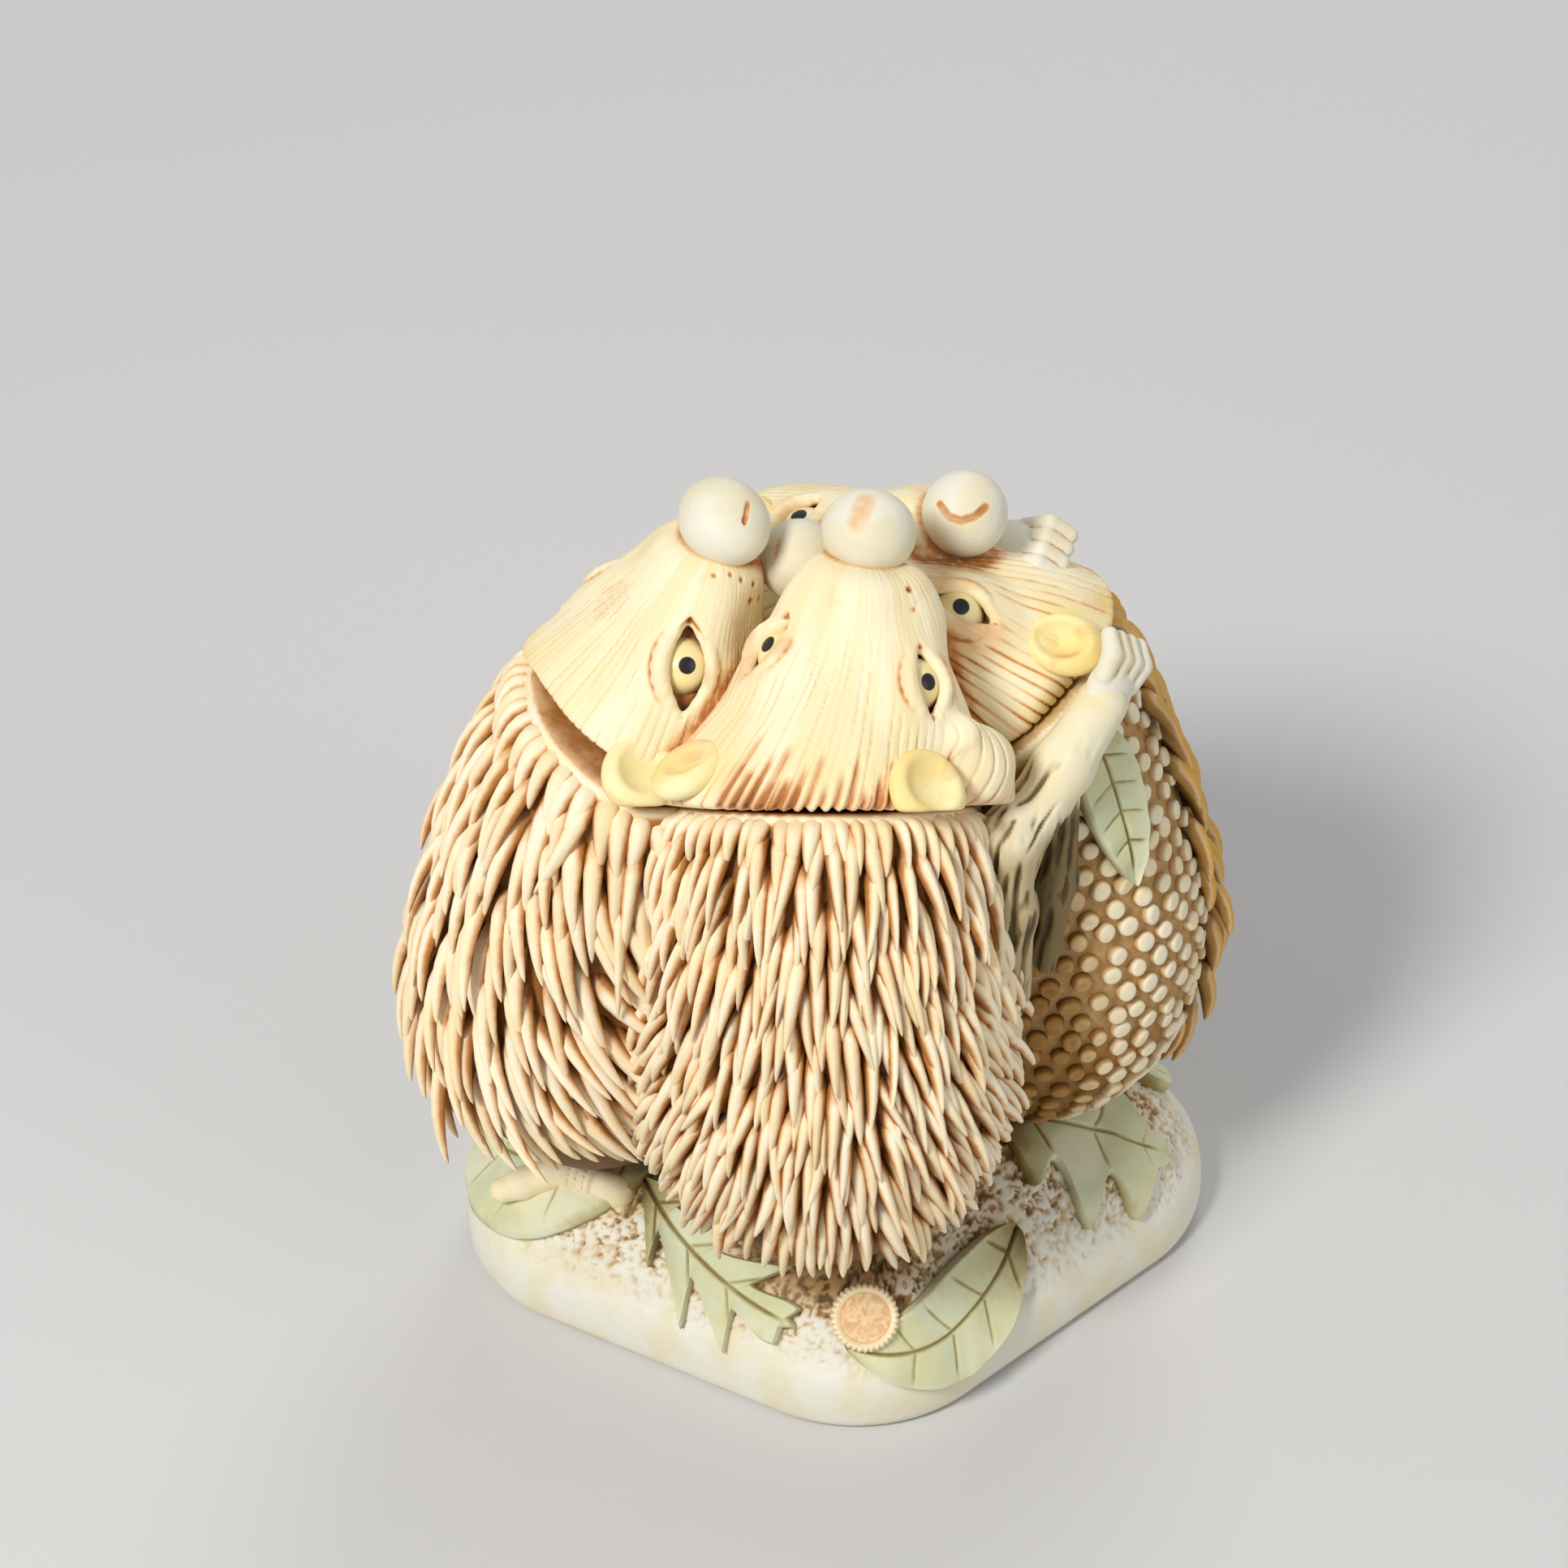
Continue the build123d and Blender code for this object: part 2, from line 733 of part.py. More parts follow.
small_plan = blade(small_leaf_length, small_leaf_width)
parts["leaf_wide"] = on_mound(wide_plan, wide_leaf_place_shares, wide_leaf_turn)
parts["leaf_pointed"] = on_mound(pointed_plan, pointed_leaf_place_shares, pointed_leaf_turn)
parts["leaf_toothed"] = on_mound(toothed_plan, toothed_leaf_place_shares, toothed_leaf_turn)
parts["leaf_lobed"] = on_mound(lobed_plan, lobed_leaf_place_shares, lobed_leaf_turn)
parts["leaf_small"] = on_mound(small_plan, small_leaf_place_shares, small_leaf_turn)
parts["leaf_shoulder"] = clear_of(shoulder_leaf(), (paw_front, front_arm, bodies["right"]))
back_wrist = Vector(*[core_half * share for share in back_paw_place_shares])
back_paw = paw(back_wrist, Vector(*back_paw_way_shares), Vector(*back_paw_back_shares))
parts["paw_back"] = clear_of(back_paw & lid_room, lid_pieces)
cap = seated(crimped_cap(), cap_place_shares, cap_height_share, cap_tilt, 0)
parts["crown_cap"] = clear_of(cap, (base, parts["leaf_pointed"], *bodies.values()))
stub = seated(bent_stub(), stub_place_shares, stub_height_share, 0, stub_turn)
parts["cigarette_end"] = clear_of(stub, (base, parts["leaf_wide"], *bodies.values()))
for name, shape in parts.items():
    print(name, len(shape.solids()), round(shape.volume, 1))
    export_step(shape, f"parts/{name}.step")
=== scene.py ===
import json
import math

import bpy
import numpy as np
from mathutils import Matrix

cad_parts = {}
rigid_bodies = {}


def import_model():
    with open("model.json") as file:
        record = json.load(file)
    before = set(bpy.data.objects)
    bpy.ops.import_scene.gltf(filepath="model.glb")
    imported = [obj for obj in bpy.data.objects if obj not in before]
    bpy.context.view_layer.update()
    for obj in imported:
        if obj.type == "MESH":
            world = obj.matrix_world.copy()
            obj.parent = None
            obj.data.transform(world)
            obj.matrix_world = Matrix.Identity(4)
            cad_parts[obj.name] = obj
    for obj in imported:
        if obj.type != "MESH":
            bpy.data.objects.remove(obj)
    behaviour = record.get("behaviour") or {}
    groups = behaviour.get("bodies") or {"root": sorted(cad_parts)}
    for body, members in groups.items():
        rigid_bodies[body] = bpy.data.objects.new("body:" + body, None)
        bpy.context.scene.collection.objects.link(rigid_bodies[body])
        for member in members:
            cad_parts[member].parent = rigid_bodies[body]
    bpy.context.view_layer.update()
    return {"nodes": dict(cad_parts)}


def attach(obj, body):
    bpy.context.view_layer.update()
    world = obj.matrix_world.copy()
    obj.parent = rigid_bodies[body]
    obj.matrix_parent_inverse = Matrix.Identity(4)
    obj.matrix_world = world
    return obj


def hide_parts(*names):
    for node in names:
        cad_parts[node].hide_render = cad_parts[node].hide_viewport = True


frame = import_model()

import openvdb
from mathutils import Vector

# The looks of the hedgehog box: every shape is worked out here in millimetres and written in metres.
# Shapes are modelled like clay: voxels hold the distance to a surface, and forms are blended into them.
MM = 0.001
FINE = 1.0  # widens the steps of voxels and grids
FAR = 9.0  # distance in mm that counts as far from any surface
rng = np.random.default_rng(11)

# Sizes that the CAD part has too
CORE_HALF = 10.5
RIM = 53.0
SEAM_GAP = 0.35
MOUND_TOP = 13.0
SIDES = ("front", "right", "back", "left")
TURNS = dict(zip(SIDES, (-90.0, 0.0, 90.0, 180.0)))
RISES = dict(zip(SIDES, (0.70, 0.65, 0.60, 0.52)))
REACHES = dict(zip(SIDES, (13.0, 15.8, 13.4, 19.0)))
SHIFTS = dict(zip(SIDES, (-1.0, 4.0, 0.5, 3.0)))
LEANS = dict(zip(SIDES, (4.0, 6.0, 4.6, 6.0)))
RADII = dict(zip(SIDES, (13.6, 13.0, 13.6, 13.8)))
HEAD_RADII = dict(zip(SIDES, (13.6, 11.2, 12.6, 12.3)))
NOSES = dict(zip(SIDES, ((3.0, 2.3, 71.8), (-2.7, 0.6, 66.8), (5.6, -9.4, 67.4), (8.0, 1.0, 71.3))))

# What the looks add: the depth kept for a coat, the bow and roll of a head, and how steep the seam's wedge is
COAT_DEPTH = dict(zip(SIDES, (0.9, 0.35, 0.9, 1.5)))
BOWS = dict(zip(SIDES, (1.0, 0.0, 0.0, 0.0)))
ROLLS = dict(zip(SIDES, (-8.0, -20.0, 20.0, 25.0)))
WEDGE_FALL = 0.82


def unit(vector):
    """A vector of length 1 along this one."""
    vector = np.asarray(vector, float)
    return vector / np.linalg.norm(vector)


def outward(side):
    """Out from the middle through a side."""
    turn = math.radians(TURNS[side])
    return np.array((math.cos(turn), math.sin(turn), 0.0))


def along_side(side):
    """Along a side, towards the next one."""
    out = outward(side)
    return np.array((-out[1], out[0], 0.0))


def at(side, out, across, height):
    """A place given by its way out through a side, along the side and up."""
    return outward(side) * out + along_side(side) * across + np.array((0.0, 0.0, height))


def eased(low, high, value):
    """0 below low, 1 above high, and a smooth ramp between."""
    share = np.clip((value - low) / (high - low), 0, 1)
    return share * share * (3 - 2 * share)


def curve(table, count=400):
    """A smooth curve through the rows of a table: the first column is the place along it."""
    rows = np.array(table, float)
    slopes = np.gradient(rows[:, 1:], rows[:, 0], axis=0)
    places = np.linspace(rows[0, 0], rows[-1, 0], count)
    index = np.clip(np.searchsorted(rows[:, 0], places) - 1, 0, len(rows) - 2)
    width = (rows[index + 1, 0] - rows[index, 0])[:, None]
    t = (places - rows[index, 0])[:, None] / width
    values = (
        (2 * t**3 - 3 * t**2 + 1) * rows[index, 1:]
        + (t**3 - 2 * t**2 + t) * width * slopes[index]
        + (3 * t**2 - 2 * t**3) * rows[index + 1, 1:]
        + (t**3 - t**2) * width * slopes[index + 1]
    )
    return places, values


# Noise: a lattice of random numbers, read smoothly at any place

CELLS = 32
LATTICE = np.random.default_rng(5).random((CELLS, CELLS, CELLS)).astype(np.float32)


def noise(points, size, shift=0.0):
    """Smooth random values from 0 to 1 at places, with lumps of about this size in mm."""
    scaled = np.asarray(points, np.float32) / size + shift
    cell = np.floor(scaled).astype(int)
    part = scaled - cell
    part = part * part * (3 - 2 * part)
    total = 0
    for i, j, k in np.ndindex(2, 2, 2):
        corner = LATTICE[(cell[..., 0] + i) % CELLS, (cell[..., 1] + j) % CELLS, (cell[..., 2] + k) % CELLS]
        weight = np.abs(1 - i - part[..., 0]) * np.abs(1 - j - part[..., 1]) * np.abs(1 - k - part[..., 2])
        total = total + corner * weight
    return total


# Clay


class Clay:
    """A block of voxels with the distance in mm to a surface, below zero inside it."""

    def __init__(self, low, high, step):
        self.step = step * FINE
        self.low = np.array(low, float)
        count = np.ceil((np.array(high, float) - self.low) / self.step).astype(int) + 1
        self.axes = [(low + self.step * np.arange(n)).astype(np.float32) for low, n in zip(self.low, count)]
        self.field = np.full(count, FAR, np.float32)

    def room(self, low=None, high=None):
        """Index ranges of part of the block, and its x, y and z for arithmetic."""
        spans = []
        for i in range(3):
            count = len(self.axes[i])
            first = 0 if low is None else int((low[i] - self.low[i]) / self.step)
            last = count if high is None else int((high[i] - self.low[i]) / self.step) + 2
            spans.append(slice(min(max(first, 0), count), min(max(last, 0), count)))
        x, y, z = (axis[span] for axis, span in zip(self.axes, spans))
        return tuple(spans), x[:, None, None], y[None, :, None], z[None, None, :]

    def join(self, shape, low, high, blend, sign):
        """Adds a shape, or takes it away where the sign is -1."""
        spans, x, y, z = self.room(low, high)
        if any(span.stop <= span.start for span in spans):
            return
        here, there = self.field[spans] * sign, shape(x, y, z)
        joined = np.minimum(here, there)
        if blend:
            joined = joined - np.maximum(blend - np.abs(here - there), 0) ** 2 / (4 * blend)
        self.field[spans] = joined * sign

    def add(self, shape, low=None, high=None, blend=0.0):
        """Adds clay: a shape gives the distance to its own surface at x, y, z."""
        self.join(shape, low, high, blend, 1)

    def cut(self, shape, low=None, high=None, blend=0.0):
        """Takes away all that is inside a shape."""
        self.join(shape, low, high, blend, -1)

    def mesh(self):
        """Points in mm and four-sided faces of the surface."""
        grid = openvdb.FloatGrid(FAR)
        grid.copyFromArray(np.pad(self.field, 1, constant_values=FAR))
        points, _, quads = grid.convertToPolygons(0.0)
        points = (points - 1) * self.step + self.low
        quads = quads.astype(np.int64)
        a, b, c, d = (points[quads[:, i]] for i in range(4))
        if np.einsum("ij,ij->", np.cross(c - a, d - b), (a + c) / 2) < 0:
            quads = quads[:, ::-1]
        return points, quads


def local(x, y, z, centre, axes):
    """Distances along three axes from a centre."""
    dx, dy, dz = x - centre[0], y - centre[1], z - centre[2]
    return [dx * axis[0] + dy * axis[1] + dz * axis[2] for axis in axes]


def egg(centre, axes, radii):
    """An ellipsoid on its own axes."""

    def shape(x, y, z):
        a, b, c = local(x, y, z, centre, axes)
        near = np.sqrt((a / radii[0]) ** 2 + (b / radii[1]) ** 2 + (c / radii[2]) ** 2)
        steep = np.sqrt((a / radii[0] ** 2) ** 2 + (b / radii[1] ** 2) ** 2 + (c / radii[2] ** 2) ** 2)
        return near * (near - 1) / np.maximum(steep, 1e-4)

    return shape


def ball(centre, radius):
    """A sphere."""

    def shape(x, y, z):
        return np.sqrt((x - centre[0]) ** 2 + (y - centre[1]) ** 2 + (z - centre[2]) ** 2) - radius

    return shape


def limb(start, end, start_radius, end_radius):
    """A round bar between two places, with round ends and a taper."""
    start, end = np.asarray(start, float), np.asarray(end, float)
    way = end - start
    square = float(way @ way)

    def shape(x, y, z):
        dx, dy, dz = x - start[0], y - start[1], z - start[2]
        share = np.clip((dx * way[0] + dy * way[1] + dz * way[2]) / square, 0, 1)
        away = np.sqrt((dx - share * way[0]) ** 2 + (dy - share * way[1]) ** 2 + (dz - share * way[2]) ** 2)
        return away - (start_radius + (end_radius - start_radius) * share)

    return shape


def around(points, margin):
    """Lowest and highest corner of a room round some places."""
    points = np.asarray(points, float)
    return points.min(0) - margin, points.max(0) + margin


def add_limbs(clay, path, radii, blend):
    """A chain of tapered bars along a path."""
    for start, end, first, last in zip(path[:-1], path[1:], radii[:-1], radii[1:]):
        clay.add(limb(start, end, first, last), *around((start, end), max(first, last) + 1), blend=blend)


def plane(point, way):
    """All that is behind a plane: distances along the way that it faces."""
    way = unit(way)

    def shape(x, y, z):
        return (x - point[0]) * way[0] + (y - point[1]) * way[1] + (z - point[2]) * way[2]

    return shape


def above_seam(lift):
    """Below zero in the room above the seam between box and lid."""

    def shape(x, y, z):
        highest = RIM + 0 * (x + y)
        for side in SIDES:
            out = outward(side)
            highest = np.maximum(highest, RIM + RISES[side] * (x * out[0] + y * out[1] - CORE_HALF))
        return (highest + lift - z) * WEDGE_FALL

    return shape


# Meshes with what the paint needs


def edges_of(quads):
    """Pairs of neighbouring points."""
    pairs = np.concatenate([quads[:, [i, (i + 1) % 4]] for i in range(4)])
    return np.unique(np.sort(pairs, axis=1), axis=0)


def relaxed(points, edges, rounds):
    """Points drawn to the middle of their neighbours, some rounds long."""
    number = len(points)
    count = np.bincount(edges.ravel(), minlength=number)[:, None]
    for _ in range(rounds):
        sums = [
            np.bincount(edges[:, 0], points[edges[:, 1], i], number)
            + np.bincount(edges[:, 1], points[edges[:, 0], i], number)
            for i in range(3)
        ]
        points = np.stack(sums, 1) / np.maximum(count, 1)
    return points


def normals_of(points, quads):
    """Unit normals at the points."""
    a, b, c, d = (points[quads[:, i]] for i in range(4))
    face = np.cross(c - a, d - b)
    normals = np.stack(
        [np.bincount(quads.ravel(), np.repeat(face[:, i], 4), len(points)) for i in range(3)], 1
    )
    return normals / np.maximum(np.linalg.norm(normals, axis=1)[:, None], 1e-9)


def hollowness(points, quads, reach, step):
    """How far in mm each point lies in a hollow of about this reach, below zero on ridges."""
    rounds = max(2, int(round((reach / step) ** 2)))
    soft = relaxed(points, edges_of(quads), min(rounds, 30))
    return np.einsum("ij,ij->i", soft - points, normals_of(points, quads))


def grid_quads(rows, columns, closed=False):
    """Faces of a grid of points, its last column joined to its first if it is closed."""
    index = np.arange(rows * columns).reshape(rows, columns)
    after = np.roll(index, -1, axis=1) if closed else index[:, 1:]
    here = index if closed else index[:, :-1]
    return np.stack([here[:-1], after[:-1], after[1:], here[1:]], -1).reshape(-1, 4)


def piece(name, points, quads, material, body, nodes, wash=None, tint=None, flow=None):
    """A mesh object in the scene that rides on a body and stands for CAD nodes."""
    mesh = bpy.data.meshes.new(name)
    mesh.vertices.add(len(points))
    mesh.vertices.foreach_set("co", (points * MM).astype(np.float32).ravel())
    mesh.loops.add(quads.size)
    mesh.loops.foreach_set("vertex_index", quads.astype(np.int32).ravel())
    mesh.polygons.add(len(quads))
    mesh.polygons.foreach_set("loop_start", np.arange(0, quads.size, 4, dtype=np.int32))
    mesh.update(calc_edges=True)
    mesh.validate()
    mesh.shade_smooth()
    plain = np.zeros(len(points))
    paint = {"wash": plain if wash is None else wash, "tint": plain if tint is None else tint}
    for key, values in paint.items():
        mesh.attributes.new(key, "FLOAT", "POINT").data.foreach_set("value", values.astype(np.float32))
    flow = ((points if flow is None else flow) * MM).astype(np.float32)
    mesh.attributes.new("flow", "FLOAT_VECTOR", "POINT").data.foreach_set("vector", flow.ravel())
    mesh.materials.append(material)
    thing = bpy.data.objects.new(name + "_cast", mesh)
    bpy.context.scene.collection.objects.link(thing)
    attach(thing, body)
    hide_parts(*nodes)


# Materials: a cast resin with a pale ground, a tint by places and a brown wash in its hollows. The same per-point
# paint that holds the wash also holds painted shade: low on the bodies, on their top faces in the seam gap, and on
# the mound round the bodies.


IVORY = (0.90, 0.79, 0.53)
WASH = (0.50, 0.19, 0.045)
ORANGE = (0.76, 0.40, 0.13)
CLOUDS, GRAINS = 260, 1500  # lumps per metre of the two noises in the resin
BUMP_DEPTH = 0.0002


def linked(tree, kind, inputs=(), **settings):
    """A new shader node: its settings, and its inputs as numbers, colours or other nodes' outputs."""
    node = tree.nodes.new("ShaderNode" + kind)
    for key, value in settings.items():
        setattr(node, key, value)
    for key, value in dict(inputs).items():
        if isinstance(value, bpy.types.NodeSocket):
            tree.links.new(value, node.inputs[key])
        else:
            node.inputs[key].default_value = value
    return node


def smooth_ramp(tree, source, low, high):
    ends = {"Value": source, "From Min": low, "From Max": high}
    return linked(tree, "MapRange", ends, interpolation_type="SMOOTHSTEP").outputs["Result"]


def maths(tree, kind, *values):
    return linked(tree, "Math", enumerate(values), operation=kind).outputs[0]


def resin(
    name, pale, tinted, washed, rough=0.62, stretch=(1, 1, 1), grain=0.35, relief=0.25, cad=False, middle=ORANGE
):
    """Hand-tinted resin: pale, a second colour where tint is 1, and a brown wash where the wash paint is 1, darker
    still above 1. Where a mesh adds painted shade to that paint, these wash colours show it.

    middle is the colour of a thin wash. A mesh of the CAD part has no paint of its own: cad makes its grain
    follow the object.
    """
    material = bpy.data.materials.new(name)
    material.use_nodes = True
    tree = material.node_tree
    tree.nodes.clear()
    if cad:
        flow = linked(tree, "TexCoord").outputs["Object"]
    else:
        flow = linked(tree, "Attribute", attribute_name="flow").outputs["Vector"]
    stretched = linked(tree, "Mapping", {"Vector": flow, "Scale": stretch}).outputs[0]
    wash, tint = (linked(tree, "Attribute", attribute_name=key).outputs["Fac"] for key in ("wash", "tint"))

    def field(scale, detail):
        return linked(tree, "TexNoise", {"Vector": stretched, "Scale": scale, "Detail": detail}).outputs["Fac"]

    def mixed(share, a, b):
        """A colour between two: inputs 6 and 7 are the node's colours."""
        a, b = ((*value, 1) if isinstance(value, tuple) else value for value in (a, b))
        return linked(tree, "Mix", {"Factor": share, 6: a, 7: b}, data_type="RGBA").outputs[2]

    cloud, fine = field(CLOUDS, 3), field(GRAINS, 4)
    aged = tuple(c * f for c, f in zip(pale, (0.98, 0.93, 0.80)))
    ground = mixed(smooth_ramp(tree, cloud, 0.42, 0.62), pale, aged)
    ground = mixed(tint, ground, tinted)
    share = maths(tree, "ADD", wash, maths(tree, "MULTIPLY_ADD", fine, grain, -grain / 2))
    light_wash = tuple(0.35 * a + 0.65 * b for a, b in zip(pale, middle))
    colour = mixed(smooth_ramp(tree, share, 0.15, 0.55), ground, light_wash)
    colour = mixed(smooth_ramp(tree, share, 0.45, 0.95), colour, washed)
    # Darkest tier above 1: the deepest wash, and painted shade where a mesh adds it
    dark = tuple(c * 0.35 for c in washed)
    colour = mixed(smooth_ramp(tree, share, 0.95, 1.6), colour, dark)
    bump = linked(tree, "Bump", {"Height": fine, "Strength": relief, "Distance": BUMP_DEPTH}).outputs[0]
    sockets = {"Base Color": colour, "Roughness": rough, "Specular IOR Level": 0.4, "Normal": bump}
    surface = linked(tree, "BsdfPrincipled", sockets).outputs[0]
    linked(tree, "OutputMaterial", {"Surface": surface})
    return material


quill_resin = resin("quill_resin", (0.93, 0.82, 0.59), (0.82, 0.55, 0.22), (0.46, 0.18, 0.032), grain=0.4)
peg_resin = resin(
    "peg_resin", (0.86, 0.76, 0.54), (0.66, 0.36, 0.06), (0.36, 0.17, 0.025), grain=0.4, middle=(0.56, 0.31, 0.06)
)
face_resin = resin("face_resin", IVORY, (0.85, 0.62, 0.16), WASH, stretch=(1, 1, 0.12), grain=0.5, relief=0.5)
nose_resin = resin("nose_resin", (0.78, 0.74, 0.60), IVORY, WASH, grain=0.2)
ear_tint = resin("ear_tint", (0.90, 0.79, 0.42), (0.90, 0.70, 0.27), WASH, grain=0.2)
fur_resin = resin(
    "fur_resin", (0.80, 0.73, 0.52), IVORY, (0.22, 0.15, 0.05), stretch=(1, 1, 0.15), middle=(0.50, 0.36, 0.15)
)
mound_resin = resin(
    "mound_resin", (0.78, 0.75, 0.63), IVORY, (0.34, 0.19, 0.06), grain=0.4, middle=(0.62, 0.42, 0.18)
)
leaf_tint = resin(
    "leaf_tint", (0.62, 0.64, 0.42), (0.76, 0.72, 0.50), (0.28, 0.20, 0.06), grain=0.3, middle=(0.46, 0.38, 0.14)
)
litter_resin = resin("litter_resin", IVORY, (0.72, 0.60, 0.40), WASH)
eye_tint = resin("eye_tint", (0.90, 0.78, 0.42), (0.010, 0.009, 0.008), WASH, rough=0.3, grain=0.05, relief=0.05)
bare_resin = resin("bare_resin", (0.80, 0.70, 0.48), IVORY, (0.45, 0.28, 0.10), grain=0.2, cad=True)
# A darker copy of bare_resin: painted shade on the core between the bodies and on the lid plate in the gap under the
# heads
shaded_core_resin = resin("shaded_core_resin", (0.62, 0.48, 0.26), IVORY, (0.40, 0.22, 0.07), grain=0.4, cad=True)


# Bodies

BODY_HEIGHT = 55.0
CORE_MARGIN = 0.9
# Share of the height, how much of the lean is reached there, and the share of the full radius
BODY_SECTIONS = (
    (0.00, 0.00, 0.26),
    (0.05, 0.00, 0.52),
    (0.13, 0.00, 0.80),
    (0.30, 0.00, 1.00),
    (0.55, 0.30, 0.97),
    (0.80, 0.90, 0.86),
    (1.00, 1.40, 0.66),
)


class Back:
    """The round back of one hedgehog: circles round a leaning line."""

    def __init__(self, side):
        self.side = side
        places, values = curve(BODY_SECTIONS)
        self.heights = MOUND_TOP - 1 + BODY_HEIGHT * places
        self.outs = REACHES[side] - LEANS[side] * values[:, 0]
        self.radii = RADII[side] * values[:, 1] - COAT_DEPTH[side]

    def out(self, z):
        return np.interp(z, self.heights, self.outs)

    def radius(self, z):
        return np.interp(z, self.heights, self.radii)

    def middle(self, z):
        return at(self.side, self.out(z), SHIFTS[self.side], z)

    def place(self, turn, z):
        """A place on the back, the way out of it, the way down it and the way round it."""
        out, across = outward(self.side), along_side(self.side)
        level = out * math.cos(turn) + across * math.sin(turn)
        rest = across * math.cos(turn) - out * math.sin(turn)
        low = self.middle(z - 0.5) + level * self.radius(z - 0.5)
        high = self.middle(z + 0.5) + level * self.radius(z + 0.5)
        down = unit(low - high)
        return (low + high) / 2, unit(np.cross(down, rest)), down, rest

    def shape(self, x, y, z):
        """Distance to the skin."""
        flat = z.ravel()
        out, across = outward(self.side), along_side(self.side)
        middle_out = self.out(flat)[None, None, :].astype(np.float32)
        radius = self.radius(flat)[None, None, :].astype(np.float32)
        steep = np.gradient(self.radii, self.heights)
        lean = 1 / np.sqrt(1 + np.interp(flat, self.heights, steep) ** 2)[None, None, :].astype(np.float32)
        way_out = x * out[0] + y * out[1] - middle_out
        way_across = x * across[0] + y * across[1] - SHIFTS[self.side]
        return (np.sqrt(way_out**2 + way_across**2) - radius) * lean

    def seam(self, turn):
        """Height of the seam at a turn round the back."""
        z = RIM + 4.0
        for _ in range(6):
            reach = self.out(z) + self.radius(z) * math.cos(turn)
            z = max(RIM, RIM + RISES[self.side] * (reach - CORE_HALF))
        return z


def neighbour(side, step):
    return SIDES[(SIDES.index(side) + step) % 4]


def body_clay(side, step):
    """A block with the plain back of one hedgehog in it."""
    back = Back(side)
    corners = [
        at(side, CORE_HALF - 3, SHIFTS[side] - RADII[side] - 2.5, MOUND_TOP - 2),
        at(side, REACHES[side] + RADII[side] + 2.5, SHIFTS[side] + RADII[side] + 2.5, RIM + 14),
    ]
    clay = Clay(*around(corners, 0.0), step)
    clay.add(back.shape)
    return back, clay


def trim_body(side, clay, swell=1.2):
    """Cuts a body to its own room, a little beyond the CAD part's where it meets its neighbours."""
    out, across = outward(side), along_side(side)
    clay.cut(above_seam(0), blend=0.7)
    clay.cut(plane(at(side, CORE_HALF + 0.02, 0, 0), out))
    for step in (1, -1):
        slope = RISES[side] / RISES[neighbour(side, step)]
        away = step * across - slope * out
        corner = at(side, CORE_HALF, step * (CORE_HALF + swell * 1.4), 0)
        clay.cut(lambda x, y, z, corner=corner, away=away: -plane(corner, away)(x, y, z))
    clay.cut(plane(np.array((0, 0, MOUND_TOP - 1.5)), (0, 0, 1)))


def in_core(place):
    """Whether a place lies in the core, where nothing of a coat may stand."""
    return max(abs(place[0]), abs(place[1])) < CORE_HALF + CORE_MARGIN


class Coat:
    """Quills, scales or pegs of one body, gathered as points, faces and paint."""

    def __init__(self):
        self.points, self.quads, self.wash, self.tint, self.count = [], [], [], [], 0

    def take(self, points, wash, tint, quads):
        self.points.append(points)
        self.wash.append(wash)
        self.tint.append(tint)
        self.quads.append(quads + self.count)
        self.count += len(points)


ROW_JITTER = 0.45
HIGHEST_ROOT = RIM + 13
RIM_SIZE, RIM_STAIN = 0.55, -0.25  # quills of the row right under the seam
# Along a quill: share of its length, half width, height of its ridge, and how far it lies off its line.
# Both profiles are shares of the quill's own width, height and length.
QUILL_RINGS = np.array(
    (
        (0.00, 0.74, 0.55, -0.13),
        (0.07, 0.93, 0.82, -0.07),
        (0.16, 1.00, 1.00, -0.02),
        (0.30, 0.96, 1.00, 0.02),
        (0.46, 0.84, 0.94, 0.03),
        (0.62, 0.69, 0.84, 0.02),
        (0.77, 0.51, 0.68, -0.005),
        (0.89, 0.33, 0.48, -0.035),
        (0.965, 0.18, 0.28, -0.06),
        (1.00, 0.03, 0.05, -0.075),
    )
)
QUILL_TURNS = math.pi / 2 + np.linspace(0, 2 * math.pi, 12, endpoint=False)


